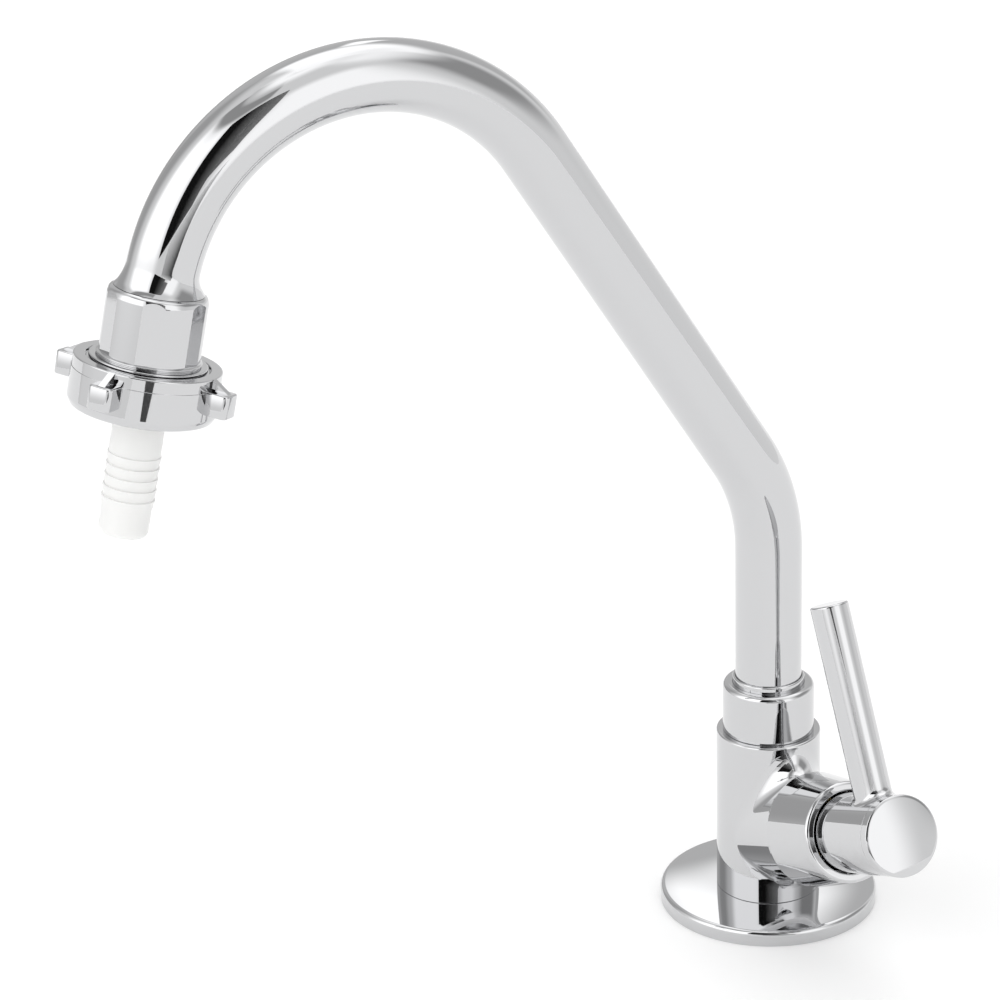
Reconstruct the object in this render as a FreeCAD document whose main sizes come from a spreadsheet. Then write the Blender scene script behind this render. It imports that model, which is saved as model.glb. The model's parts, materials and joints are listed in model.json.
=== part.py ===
# Utility sink faucet: a swivelling gooseneck spout with a hose end, and a quarter-turn lever valve
# on a side branch.
# Millimetres. The origin is the centre of the face that sits on the deck. Z is up, the spout
# reaches over -Y and the handle points to +X.
import FreeCAD, Part

import math
import os

import Sketcher
from FreeCAD import Placement, Rotation, Vector

os.makedirs("parts", exist_ok=True)
doc = FreeCAD.newDocument("utility_faucet")
sheet = doc.addObject("Spreadsheet::Sheet", "Sizes")
rows = []
nodes = []

X_AXIS = Vector(1, 0, 0)
Y_AXIS = Vector(0, 1, 0)
Z_AXIS = Vector(0, 0, 1)


class Size:
    """A number kept both as a sheet expression and as its present value."""

    def __init__(self, text, value):
        self.text = text
        self.value = value

    def __add__(self, other):
        other = as_size(other)
        return Size("(%s + %s)" % (self.text, other.text), self.value + other.value)

    def __sub__(self, other):
        other = as_size(other)
        return Size("(%s - %s)" % (self.text, other.text), self.value - other.value)

    def __rsub__(self, other):
        return as_size(other) - self

    def __mul__(self, other):
        other = as_size(other)
        return Size("(%s * %s)" % (self.text, other.text), self.value * other.value)

    def __truediv__(self, other):
        other = as_size(other)
        return Size("(%s / %s)" % (self.text, other.text), self.value / other.value)

    def __neg__(self):
        return Size("(0 - %s)" % self.text, -self.value)


def as_size(item):
    return item if isinstance(item, Size) else Size(repr(float(item)), float(item))


def sine(angle):
    return Size("sin(%s)" % angle.text, math.sin(math.radians(angle.value)))


def cosine(angle):
    return Size("cos(%s)" % angle.text, math.cos(math.radians(angle.value)))


def root(area):
    return Size("sqrt(%s)" % area.text, math.sqrt(area.value))


def size(name, value):
    """Writes one driving number into the sheet."""
    rows.append(name)
    number = len(rows)
    sheet.set("A%d" % number, name)
    sheet.set("B%d" % number, str(value))
    sheet.setAlias("B%d" % number, name)
    return Size("Sizes." + name, float(value))


def bind(item, path, value):
    item.setExpression(path, as_size(value).text)


# Spout
tube_r = size("tube_radius", 9.525)
tube_wall = size("tube_wall", 1.0)
bend_start = size("lower_bend_height", 110.8)
bend_r = size("lower_bend_radius", 55.8)
lean = size("spout_lean_angle", 32.7)
slope = size("spout_slope_length", 116.1)
arch_r = size("arch_radius", 58.4)
arch_angle = size("arch_angle", 134.6)

# Base and valve body
flange_r = size("flange_radius", 31.6)
flange_t = size("flange_thickness", 5.0)
flange_edge = size("flange_edge_rounding", 1.4)
gasket_edge = size("gasket_edge_width", 2.6)
gasket_width = size("gasket_ring_width", 4.0)
gasket_out = flange_r - gasket_edge
gasket_in = gasket_out - gasket_width
gasket_t = size("gasket_thickness", 1.6)
gasket_room = size("gasket_side_room", 0.3)
spigot_r = size("spigot_radius", 13.0)
spigot_room = size("spigot_clearance", 0.05)
body_r = size("body_radius", 15.0)
body_top = size("body_height", 54.8)
body_edge = size("body_top_chamfer", 0.5)
inlet_r = size("inlet_thread_radius", 9.3)
inlet_depth = size("inlet_thread_depth", 9.0)
riser_r = size("riser_radius", 4.0)
riser_back = size("riser_setback", 8.0)
riser_top = size("riser_top_height", 20.0)
outflow_r = size("outflow_radius", 4.5)
outflow_x = size("outflow_offset", 3.0)
outflow_low = size("outflow_bottom_height", 28.0)

# Branch and headwork, measured along the handle axis from the axis of the body
axis_height = size("handle_axis_height", 22.75)
rise = size("handle_rise_angle", 21.8)
neck_r = size("branch_neck_radius", 14.7)
flare_r = size("branch_flare_radius", 16.2)
flare_angle = size("branch_flare_angle", 71.3)
flare_land = size("branch_rim_width", 0.76)
blend_r = size("branch_blend_radius", 3.0)
branch_face = size("branch_face_distance", 29.8)
seat_r = size("seat_radius", 4.5)
seat_start = size("seat_passage_depth", 11.0)
chamber_floor = size("chamber_floor_depth", 4.0)
chamber_r = size("chamber_radius", 8.8)
thread_start = size("headwork_thread_start", 16.0)
branch_thread_r = size("branch_thread_radius", 10.48)
thread_room = size("thread_clearance", 0.08)

# Spout socket, collar and bush
socket_r = size("socket_radius", 10.6)
socket_floor = size("socket_floor_height", 40.0)
socket_top = size("socket_step_height", 49.9)
swivel_room = size("swivel_clearance", 0.08)
foot_room = size("foot_top_clearance", 0.1)
foot_bore = size("foot_bore_radius", 8.2)
foot_seat = size("tube_seat_height", 46.4)
seat_room = size("tube_seat_clearance", 0.02)
ring_r = size("spout_ring_section_radius", 0.8)
ring_room = size("ring_clearance", 0.02)
ring_low = size("lower_spout_ring_height", 41.85)
ring_high = size("upper_spout_ring_height", 44.75)
ring_slack = size("ring_groove_side_room", 0.05)
slip_t = size("slip_washer_thickness", 0.7)
slip_room = size("slip_washer_side_room", 0.2)
collar_thread_r = size("collar_thread_radius", 11.9)
collar_thread_room = size("collar_thread_clearance", 0.1)
collar_r = size("collar_radius", 13.15)
collar_top = size("collar_top_height", 69.7)
collar_edge = size("collar_top_rounding", 1.6)
collar_room = size("collar_tube_gap", 0.33)
bush_r = size("bush_radius", 10.3)
bush_low = size("bush_bottom_height", 60.0)
bush_top = size("bush_top_height", 71.7)
bush_room = size("bush_clearance", 0.06)
bush_edge = size("bush_top_rounding", 0.5)

# Outlet, measured along the outlet axis from the end of the arch
bell_depth = size("bell_start_depth", 4.7)
bell_r = size("bell_flare_radius", 8.75)
bell_angle = size("bell_flare_angle", 41.3)
seam_room = size("bell_seam_clearance", 0.12)
nose_angle = size("nose_start_angle", 14.0)
adapter_bore = size("adapter_bore_radius", 8.0)
adapter_r = size("adapter_radius", 13.04)
shoulder_r = size("adapter_shoulder_rounding", 2.0)
shoulder_end = size("adapter_shoulder_end", 3.0)
flat_half = size("adapter_half_flats", 12.725)
flat_end = size("adapter_flat_end", 18.3)
flat_angle = size("adapter_flat_angle", 26.0)
lip_start = size("adapter_lip_start", 18.6)
lip_r = size("adapter_lip_radius", 13.6)
lip_slope = size("adapter_lip_slope", 0.3)
lip_end = size("adapter_lip_end", 19.0)
groove_r = size("adapter_groove_radius", 13.1)
ledge_start = size("adapter_ledge_start", 19.4)
ledge_r = size("adapter_ledge_radius", 15.3)
male_start = size("adapter_thread_start", 20.6)
male_r = size("adapter_thread_radius", 15.83)
adapter_end = size("adapter_end", 27.4)

washer_t = size("hose_washer_thickness", 1.6)
washer_bore = size("hose_washer_bore_radius", 7.9)
tail_flange_r = size("hose_tail_flange_radius", 15.2)
tail_flange_t = size("hose_tail_flange_thickness", 2.0)
tail_r = size("hose_tail_neck_radius", 6.75)
tail_bore = size("hose_tail_bore_radius", 4.5)
ridge_start = size("first_ridge_distance", 44.5)
ridge_pitch = size("ridge_pitch", 2.9)
ridge_r = size("ridge_radius", 7.0)
valley_r = size("valley_radius", 6.45)
tail_end = size("hose_tail_end", 66.3)
tail_round = size("hose_tail_end_rounding", 1.4)

nut_room = size("nut_thread_clearance", 0.1)
nut_top = size("nut_top_distance", 19.96)
nut_mouth = size("nut_mouth_extra", 0.2)
nut_mouth_depth = size("nut_mouth_depth", 1.0)
nut_upper_r = size("nut_upper_radius", 19.15)
nut_step = size("nut_step_distance", 23.2)
nut_r = size("nut_radius", 19.3)
nut_round_start = size("nut_rounding_start", 30.3)
nut_round_r = size("nut_rounding_radius", 3.38)
nut_face_r = size("nut_face_radius", 17.0)
nut_lip_t = size("nut_lip_thickness", 2.5)
nut_hole = size("nut_hole_radius", 7.3)
wing_reach = size("wing_reach", 24.9)
wing_root = size("wing_root_radius", 18.2)
wing_top = size("wing_top_distance", 22.85)
wing_height = size("wing_height", 6.15)
wing_width = size("wing_width", 6.5)
wing_edge = size("wing_edge_rounding", 1.2)
wing_angle = size("wing_start_angle", -40.0)
gusset_t = size("gusset_thickness", 1.8)
gusset_reach = size("gusset_reach", 24.3)

# Handle, measured along the handle axis from the axis of the body
shroud_back_r = size("shroud_back_radius", 16.5)
shroud_rim_r = size("shroud_rim_radius", 14.2)
shroud_rim = size("shroud_rim_distance", 47.6)
shroud_round = size("shroud_rim_rounding", 1.3)
shroud_mouth_r = size("shroud_mouth_radius", 11.9)
shroud_wall = size("shroud_wall", 1.8)
shroud_web = size("shroud_web_thickness", 1.5)
web_room = size("shroud_web_clearance", 0.2)
hub_r = size("hub_radius", 11.33)
hub_back = size("hub_back_distance", 45.6)
hub_front = size("hub_front_distance", 74.0)
hub_well_r = size("hub_back_well_radius", 8.5)
hub_well_end = size("hub_back_well_end", 52.0)
spline_r = size("spline_radius", 4.0)
spline_room = size("spline_clearance", 0.05)
spline_end = size("spline_bore_end", 63.0)
hub_floor = size("hub_front_floor", 67.0)
plug_r = size("cap_plug_radius", 8.5)
plug_room = size("cap_plug_clearance", 0.1)
plug_length = size("cap_plug_length", 4.0)
cap_seam = size("cap_seam_gap", 0.1)
cap_side = size("cap_side_height", 2.6)
cap_edge = size("cap_edge_size", 0.45)
dome_height = size("cap_dome_height", 0.8)
rod_distance = size("rod_distance", 66.3)
rod_r = size("rod_radius", 5.35)
rod_length = size("rod_length", 65.5)
rod_edge = size("rod_tip_rounding", 0.6)
rod_lean = size("rod_lean_angle", 2.5)
rod_blend = size("rod_blend_radius", 2.1)
screw_r = size("screw_radius", 2.0)
screw_room = size("screw_hole_clearance", 0.2)
screw_start = size("screw_start_distance", 55.0)
screw_head_r = size("screw_head_radius", 4.0)
screw_head_t = size("screw_head_height", 2.6)
screw_slot = size("screw_slot_width", 1.0)
screw_slot_depth = size("screw_slot_depth", 1.1)

# Headwork cartridge
shell_r = size("shell_radius", 8.2)
shell_wall = size("shell_wall", 1.0)
shell_start = size("shell_start_depth", 3.4)
shell_floor = size("shell_floor_distance", 10.0)
window_low = size("window_start_distance", 3.4)
window_height = size("window_height", 4.6)
window_width = size("window_width", 8.0)
pilot_r = size("pilot_radius", 8.65)
male_low = size("headwork_thread_low", 17.0)
hex_half = size("headwork_half_flats", 11.0)
hex_t = size("headwork_hex_thickness", 4.7)
neck_tube_r = size("headwork_neck_radius", 7.2)
neck_end = size("headwork_neck_end", 50.0)
shaft_r = size("spindle_shaft_radius", 5.04)
shaft_end = size("spindle_shaft_end", 24.0)
bore_step = size("headwork_bore_step", 24.3)
stem_r = size("spindle_stem_radius", 4.4)
running_room = size("spindle_clearance", 0.06)
collar_disc_r = size("spindle_collar_radius", 6.9)
collar_disc_low = size("spindle_collar_distance", 8.2)
collar_disc_t = size("spindle_collar_thickness", 1.5)
stem_end = size("spindle_end_distance", 62.0)
tapped_start = size("spindle_tapped_start", 54.0)
tapped_room = size("spindle_tapped_clearance", 0.05)
bar_length = size("drive_bar_length", 9.0)
bar_width = size("drive_bar_width", 3.0)
bar_room = size("drive_bar_clearance", 0.1)
bar_depth = size("drive_slot_depth", 0.9)
stem_ring_r = size("spindle_ring_section_radius", 0.8)
stem_ring_low = size("lower_spindle_ring_distance", 13.85)
stem_ring_high = size("upper_spindle_ring_distance", 17.85)
pilot_ring_r = size("headwork_ring_section_radius", 0.8)
pilot_ring_at = size("headwork_ring_distance", 13.0)
clip_at = size("circlip_distance", 50.3)
clip_t = size("circlip_thickness", 0.8)
clip_r = size("circlip_outer_radius", 5.6)
clip_depth = size("circlip_groove_depth", 0.6)
clip_room = size("circlip_side_room", 0.05)
disc_r = size("fixed_disc_radius", 7.0)
disc_t = size("disc_thickness", 2.5)
disc_low = size("fixed_disc_low", 2.2)
moving_disc_r = size("moving_disc_radius", 6.9)
port_r = size("disc_port_radius", 2.0)
port_offset = size("disc_port_offset", 4.2)
seal_r = size("seat_seal_radius", 7.1)
seal_bore = size("seat_seal_bore_radius", 5.0)

# Dependent sizes
tilt = 180 - lean - arch_angle
slope_foot_y = bend_r * (1 - cosine(lean))
slope_foot_z = bend_start + bend_r * sine(lean)
slope_head_y = slope_foot_y + slope * sine(lean)
slope_head_z = slope_foot_z + slope * cosine(lean)
arch_y = slope_head_y + arch_r * cosine(lean)
arch_z = slope_head_z - arch_r * sine(lean)
outlet_y = -(arch_y + arch_r * cosine(tilt))
outlet_z = arch_z + arch_r * sine(tilt)
outlet_turn = 180 - tilt
handle_turn = 90 - rise
tail_top = adapter_end + washer_t
tail_face = tail_top + tail_flange_t
nut_bottom = tail_face + nut_lip_t
web_face = branch_face + shroud_web


class Bend:
    """Makes the next side of an outline an arc. left: its centre lies left of the way."""

    def __init__(self, radius, left):
        self.radius = as_size(radius)
        self.left = left


def new_body(name, frame=None):
    """A body in the row's frame, or in the frame of the handle axis or of the outlet axis."""
    body = doc.addObject("PartDesign::Body", name)
    body.Label = name
    if frame == "handle":
        body.Placement = Placement(Vector(0, 0, axis_height.value), Rotation(Y_AXIS, handle_turn.value))
        bind(body, "Placement.Base.z", axis_height)
        bind(body, "Placement.Rotation.Angle", handle_turn)
    if frame == "outlet":
        base = Vector(0, outlet_y.value, outlet_z.value)
        body.Placement = Placement(base, Rotation(X_AXIS, outlet_turn.value))
        bind(body, "Placement.Base.y", outlet_y)
        bind(body, "Placement.Base.z", outlet_z)
        bind(body, "Placement.Rotation.Angle", outlet_turn)
    return body


def new_sketch(body, name, plane="XZ_Plane", offset=(0, 0, 0), axis=Z_AXIS, angle=0):
    """A sketch on one of the body's own planes, moved and turned inside it."""
    sketch = body.newObject("Sketcher::SketchObject", name)
    support = [item for item in body.Origin.OriginFeatures if item.Role == plane][0]
    sketch.AttachmentSupport = (support, [""])
    sketch.MapMode = "FlatFace"
    offset = [as_size(item) for item in offset]
    angle = as_size(angle)
    base = Vector(*[item.value for item in offset])
    sketch.AttachmentOffset = Placement(base, Rotation(axis, angle.value))
    for letter, item in zip("xyz", offset):
        bind(sketch, "AttachmentOffset.Base." + letter, item)
    if angle.value:
        bind(sketch, "AttachmentOffset.Rotation.Angle", angle)
    return sketch


def fix(sketch, kind, geometry, value):
    """Adds one bound distance from the sketch's origin, or one bound radius."""
    if kind == "Radius":
        number = sketch.addConstraint(Sketcher.Constraint(kind, geometry, value.value))
        bind(sketch, "Constraints[%d]" % number, value)
        return
    if value.text == "0.0":
        axis = -2 if kind == "DistanceX" else -1
        sketch.addConstraint(Sketcher.Constraint("PointOnObject", *geometry, axis))
        return
    ends = (-1, 1, *geometry)
    if value.value < 0:
        ends = (*geometry, -1, 1)
        value = -value
    number = sketch.addConstraint(Sketcher.Constraint(kind, *ends, value.value))
    bind(sketch, "Constraints[%d]" % number, value)


def arc_between(start, stop, bend):
    chord = stop - start
    side = Vector(-chord.y, chord.x, 0).normalize()
    if not bend.left:
        side = side * -1
    radius = bend.radius.value
    reach = math.sqrt(max(radius ** 2 - (chord.Length / 2) ** 2, 0))
    centre = (start + stop) * 0.5 + side * reach
    first, last = (start, stop) if bend.left else (stop, start)
    angles = [math.atan2(point.y - centre.y, point.x - centre.x) for point in (first, last)]
    return Part.ArcOfCircle(Part.Circle(centre, Z_AXIS, radius), *angles)


def draw(sketch, items, closed=True):
    """Draws an outline through the given corners and ties each corner to its sizes."""
    corners = []
    bends = {}
    for item in items:
        if isinstance(item, Bend):
            bends[len(corners) - 1] = item
        else:
            corners.append((as_size(item[0]), as_size(item[1])))
    count = len(corners)
    points = [Vector(across.value, along.value, 0) for across, along in corners]
    sides = []
    for number in range(count if closed else count - 1):
        start = points[number]
        stop = points[(number + 1) % count]
        if number in bends:
            bend = bends[number]
            line = sketch.addGeometry(arc_between(start, stop, bend), False)
            sides.append(((line, 1), (line, 2)) if bend.left else ((line, 2), (line, 1)))
        else:
            line = sketch.addGeometry(Part.LineSegment(start, stop), False)
            sides.append(((line, 1), (line, 2)))
    for number in range(0 if closed else 1, len(sides)):
        joined = (*sides[number - 1][1], *sides[number][0])
        sketch.addConstraint(Sketcher.Constraint("Coincident", *joined))
    for number, (across, along) in enumerate(corners):
        end = sides[number][0] if number < len(sides) else sides[-1][1]
        fix(sketch, "DistanceX", end, across)
        fix(sketch, "DistanceY", end, along)
    for number, bend in bends.items():
        fix(sketch, "Radius", sides[number][0][0], bend.radius)


def rectangle(low_x, low_y, high_x, high_y):
    return [(low_x, low_y), (high_x, low_y), (high_x, high_y), (low_x, high_y)]


def circle(sketch, radius, across=0, along=0):
    radius = as_size(radius)
    across = as_size(across)
    along = as_size(along)
    centre = Vector(across.value, along.value, 0)
    number = sketch.addGeometry(Part.Circle(centre, Z_AXIS, radius.value), False)
    fix(sketch, "DistanceX", (number, 3), across)
    fix(sketch, "DistanceY", (number, 3), along)
    fix(sketch, "Radius", number, radius)


def turn(body, name, items, cut=False, plane="XZ_Plane", offset=(0, 0, 0), angle=0):
    """Turns an outline of (radius, distance) corners about the sketch's upright axis."""
    before = body.Shape.Volume if body.Tip else 0
    sketch = new_sketch(body, name + "_outline", plane, offset, Z_AXIS, angle)
    draw(sketch, items)
    feature = body.newObject("PartDesign::Groove" if cut else "PartDesign::Revolution", name)
    feature.Profile = sketch
    feature.ReferenceAxis = (sketch, ["V_Axis"])
    feature.Angle = 360
    return settled(body, feature, before)


def extrude(body, name, sketch, length, cut=False):
    """Pads or cuts from the sketch along its own normal."""
    before = body.Shape.Volume if body.Tip else 0
    feature = body.newObject("PartDesign::Pocket" if cut else "PartDesign::Pad", name)
    feature.Profile = sketch
    feature.Length = as_size(length).value
    bind(feature, "Length", length)
    feature.Reversed = cut
    return settled(body, feature, before)


def settled(body, feature, before):
    """Recomputes, and stops when a feature is broken or has changed nothing."""
    doc.recompute()
    after = feature.Shape.Volume
    if not feature.Shape.isValid() or abs(after - before) < 1e-3:
        raise RuntimeError("%s changed nothing or is broken" % feature.Name)
    return feature


def around(body, name, features, count):
    """Repeats features round the body's Z axis."""
    before = body.Shape.Volume
    pattern = body.newObject("PartDesign::PolarPattern", name)
    pattern.Originals = features
    axis = [item for item in body.Origin.OriginFeatures if item.Role == "Z_Axis"][0]
    pattern.Axis = (axis, [""])
    pattern.Angle = 360
    pattern.Occurrences = count
    body.Tip = pattern
    return settled(body, pattern, before)


def edges_of(feature, test):
    edges = enumerate(feature.Shape.Edges, 1)
    return ["Edge%d" % number for number, edge in edges if test(edge)]


def rim(radius, distance):
    """Picks the circle of a given radius at a given distance along the body's axis."""
    def test(edge):
        curve = edge.Curve
        if not isinstance(curve, Part.Circle) or abs(curve.Radius - radius.value) > 0.02:
            return False
        centre = curve.Center
        return math.hypot(centre.x, centre.y) < 0.01 and abs(centre.z - distance.value) < 0.02
    return test


def soften(body, name, test, amount, kind="Fillet"):
    """Rounds or chamfers the edges that the test picks."""
    base = body.Tip
    before = base.Shape.Volume
    edges = edges_of(base, test)
    if not edges:
        raise RuntimeError("no edge found for " + name)
    feature = body.newObject("PartDesign::" + kind, name)
    feature.Base = (base, edges)
    path = "Radius" if kind == "Fillet" else "Size"
    setattr(feature, path, amount.value)
    bind(feature, path, amount)
    return settled(body, feature, before)


def between_cylinders(feature, first, second):
    """Picks the edges shared by two round faces of the given radii."""
    def radii(edge):
        found = []
        for face in feature.Shape.ancestorsOfType(edge, Part.Face):
            if isinstance(face.Surface, Part.Cylinder):
                found.append(face.Surface.Radius)
        return found

    def test(edge):
        found = radii(edge)
        wanted = (first.value, second.value)
        return all(any(abs(item - radius) < 0.01 for item in found) for radius in wanted)
    return test


def ring_pieces(name, radius, section, distances, frame=None):
    """Rubber rings on one axis, as one node."""
    rings = []
    for number, distance in enumerate(distances, 1):
        ring = new_body("%s_%d" % (name, number), frame)
        sketch = new_sketch(ring, "%s_%d_section" % (name, number))
        circle(sketch, section, radius, distance)
        feature = ring.newObject("PartDesign::Revolution", "%s_%d_ring" % (name, number))
        feature.Profile = sketch
        feature.ReferenceAxis = (sketch, ["V_Axis"])
        feature.Angle = 360
        settled(ring, feature, 0)
        rings.append(ring)
    if len(rings) == 1:
        rings[0].Label = name
        keep(rings[0], name)
        return
    group = doc.addObject("Part::MultiFuse", name)
    group.Shapes = rings
    keep(group, name)


def keep(item, name):
    """Marks an object as a finished node."""
    item.Label = name
    nodes.append((name, item))


# Base flange and its gasket
flange = new_body("base_flange")
hole_r = spigot_r + spigot_room
turn(flange, "flange_disc", [
    (hole_r, 0),
    (gasket_in - gasket_room, 0),
    (gasket_in - gasket_room, gasket_t),
    (gasket_out + gasket_room, gasket_t),
    (gasket_out + gasket_room, 0),
    (flange_r, 0),
    (flange_r, flange_t),
    (hole_r, flange_t),
])
soften(flange, "flange_rim", rim(flange_r, flange_t), flange_edge)
keep(flange, "base_flange")

gasket = new_body("flange_gasket")
turn(gasket, "gasket_ring", rectangle(gasket_in, 0, gasket_out, gasket_t))
keep(gasket, "flange_gasket")

# Valve body: upright, branch, waterways and threads
valve = new_body("valve_body")
turn(valve, "upright", [
    (0, 0),
    (spigot_r, 0),
    (spigot_r, flange_t),
    (body_r, flange_t),
    (body_r, body_top),
    (0, body_top),
])
soften(valve, "upright_edge", rim(body_r, body_top), body_edge, "Chamfer")
flare_bend = (flare_r - neck_r) / (1 - cosine(flare_angle))
flare_start = branch_face - flare_land - flare_bend * sine(flare_angle)
turn(valve, "branch", [
    (0, 0),
    (neck_r, 0),
    (neck_r, flare_start),
    Bend(flare_bend, False),
    (flare_r, branch_face - flare_land),
    (flare_r, branch_face),
    (0, branch_face),
], offset=(0, axis_height, 0), angle=-handle_turn)
soften(valve, "branch_blend", between_cylinders(valve.Tip, body_r, neck_r), blend_r)
turn(valve, "inlet_thread", rectangle(0, 0, inlet_r, inlet_depth), cut=True)
riser = new_sketch(valve, "riser_circle", "XY_Plane", (0, 0, inlet_depth))
circle(riser, riser_r, -riser_back, 0)
extrude(valve, "riser", riser, riser_top - inlet_depth, cut=True)
turn(valve, "seat_and_chamber", [
    (0, -seat_start),
    (seat_r, -seat_start),
    (seat_r, -chamber_floor),
    (chamber_r, -chamber_floor),
    (chamber_r, thread_start),
    (branch_thread_r, thread_start),
    (branch_thread_r, branch_face),
    (0, branch_face),
], cut=True, offset=(0, axis_height, 0), angle=-handle_turn)
outflow = new_sketch(valve, "outflow_circle", "XY_Plane", (0, 0, outflow_low))
circle(outflow, outflow_r, outflow_x, 0)
extrude(valve, "outflow", outflow, socket_floor - outflow_low, cut=True)
collar_thread_hole = collar_thread_r + collar_thread_room
turn(valve, "spout_socket", [
    (0, socket_floor),
    (socket_r, socket_floor),
    (socket_r, socket_top),
    (collar_thread_hole, socket_top),
    (collar_thread_hole, body_top),
    (0, body_top),
], cut=True)
keep(valve, "valve_body")

# Spout collar, bush and slip washer
collar_bottom = socket_top + slip_t
collar = new_body("spout_collar")
collar_bore = tube_r + collar_room
bush_hole = bush_r + seat_room
turn(collar, "collar_ring", [
    (collar_bore, collar_bottom),
    (collar_thread_r, collar_bottom),
    (collar_thread_r, body_top),
    (collar_r, body_top),
    (collar_r, collar_top),
    (bush_hole, collar_top),
    (bush_hole, bush_low),
    (collar_bore, bush_low),
])
soften(collar, "collar_edge", rim(collar_r, collar_top), collar_edge)
keep(collar, "spout_collar")

bush = new_body("spout_bush")
turn(bush, "bush_ring", rectangle(tube_r + bush_room, bush_low, bush_r, bush_top))
soften(bush, "bush_edge", rim(bush_r, bush_top), bush_edge)
keep(bush, "spout_bush")

slip = new_body("spout_slip_washer")
turn(slip, "slip_ring", rectangle(collar_bore, socket_top, collar_thread_hole - slip_room, collar_bottom))
keep(slip, "spout_slip_washer")

# Spout tube: swept along its bends, with a belled end
tube = new_body("spout_tube")
path = new_sketch(tube, "spout_path", "YZ_Plane")
degrees = 180 / math.pi
bell_start_angle = tilt + bell_depth / arch_r * degrees
draw(path, [
    (0, foot_seat),
    (0, bend_start),
    Bend(bend_r, True),
    (-slope_foot_y, slope_foot_z),
    (-slope_head_y, slope_head_z),
    Bend(arch_r, True),
    (-(arch_y + arch_r * cosine(bell_start_angle)), arch_z + arch_r * sine(bell_start_angle)),
], closed=False)
section = new_sketch(tube, "tube_section", "XY_Plane", (0, 0, foot_seat))
circle(section, tube_r)
circle(section, tube_r - tube_wall)
sweep = tube.newObject("PartDesign::AdditivePipe", "tube_sweep")
sweep.Profile = section
sweep.Spine = (path, ["Edge1", "Edge2", "Edge3", "Edge4"])
settled(tube, sweep, 0)

# The bell follows the last of the arch, then opens
bell_centre = tube_r + bell_r
bell_inner = bell_r + tube_wall
bell_end = bell_r * sine(bell_angle) - bell_depth
sections = []
for number in range(7):
    station = (bell_depth + bell_end) * (number / 6) - bell_depth
    back = -station if station.value < 0 else as_size(0)
    ahead = station if station.value > 0 else as_size(0)
    angle = tilt + back / arch_r * degrees
    centre_y = arch_y + arch_r * cosine(angle) + ahead * sine(tilt)
    centre_z = arch_z + arch_r * sine(angle) - ahead * cosine(tilt)
    place = (0, -centre_y, centre_z)
    ring = new_sketch(tube, "bell_section_%d" % number, "XY_Plane", place, X_AXIS, 180 - angle)
    depth = station + bell_depth
    for bend in (bell_r, bell_inner):
        circle(ring, bell_centre - root(bend * bend - depth * depth))
    sections.append(ring)
bell = tube.newObject("PartDesign::AdditiveLoft", "bell")
bell.Profile = sections[0]
bell.Sections = sections[1:]
settled(tube, bell, sweep.Shape.Volume)
keep(tube, "spout_tube")

# Spout foot and its rings
foot = new_body("spout_foot")
foot_r = socket_r - swivel_room
foot_top = socket_top - foot_room
ring_major = socket_r - ring_room - ring_r
ring_bottom = ring_major - ring_r - ring_room
ring_half = ring_r + ring_slack
tube_seat_r = tube_r + seat_room
turn(foot, "foot_ring", [
    (foot_bore, socket_floor),
    (foot_r, socket_floor),
    (foot_r, ring_low - ring_half),
    (ring_bottom, ring_low - ring_half),
    (ring_bottom, ring_low + ring_half),
    (foot_r, ring_low + ring_half),
    (foot_r, ring_high - ring_half),
    (ring_bottom, ring_high - ring_half),
    (ring_bottom, ring_high + ring_half),
    (foot_r, ring_high + ring_half),
    (foot_r, foot_top),
    (tube_seat_r, foot_top),
    (tube_seat_r, foot_seat),
    (foot_bore, foot_seat),
])
keep(foot, "spout_foot")
ring_pieces("spout_o_rings", ring_major, ring_r, [ring_low, ring_high])

# Outlet adapter
adapter = new_body("outlet_adapter", "outlet")
nose_bend = bell_inner + seam_room
face = bell_end + seam_room
face_depth = face + bell_depth
turn(adapter, "adapter_turned", [
    (adapter_bore, nose_bend * sine(nose_angle) - bell_depth),
    (bell_centre - nose_bend * cosine(nose_angle), nose_bend * sine(nose_angle) - bell_depth),
    Bend(nose_bend, False),
    (bell_centre - root(nose_bend * nose_bend - face_depth * face_depth), face),
    (bell_centre - bell_r * cosine(bell_angle), face),
    Bend(shoulder_r, True),
    (adapter_r, shoulder_end),
    (adapter_r, lip_start - lip_slope),
    (lip_r, lip_start),
    (lip_r, lip_end),
    (groove_r, lip_end),
    (groove_r, ledge_start),
    (ledge_r, ledge_start),
    (ledge_r, male_start),
    (male_r, male_start),
    (male_r, adapter_end),
    (adapter_bore, adapter_end),
])
flat = new_sketch(adapter, "flat_outline", "XY_Plane", (0, 0, 0), Z_AXIS, flat_angle)
draw(flat, rectangle(flat_half, -adapter_r / 2, adapter_r + 1, adapter_r / 2))
flat_cut = extrude(adapter, "flat_cut", flat, flat_end, cut=True)
around(adapter, "flats", [flat_cut], 6)
keep(adapter, "outlet_adapter")

# Hose tail and washer
tail = new_body("hose_barb", "outlet")
corners = [
    (tail_bore, tail_top),
    (tail_flange_r, tail_top),
    (tail_flange_r, tail_face),
    (tail_r, tail_face),
    (tail_r, ridge_start),
]
for number in range(5):
    start = ridge_start + ridge_pitch * number
    corners.append((ridge_r, start))
    corners.append((valley_r, start + ridge_pitch))
corners += [
    (valley_r, tail_end - tail_round),
    Bend(tail_round, True),
    (valley_r - tail_round, tail_end),
    (tail_bore, tail_end),
]
turn(tail, "tail_turned", corners)
keep(tail, "hose_barb")

washer = new_body("barb_washer", "outlet")
turn(washer, "washer_ring", rectangle(washer_bore, adapter_end, tail_flange_r, tail_top))
keep(washer, "barb_washer")

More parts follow.
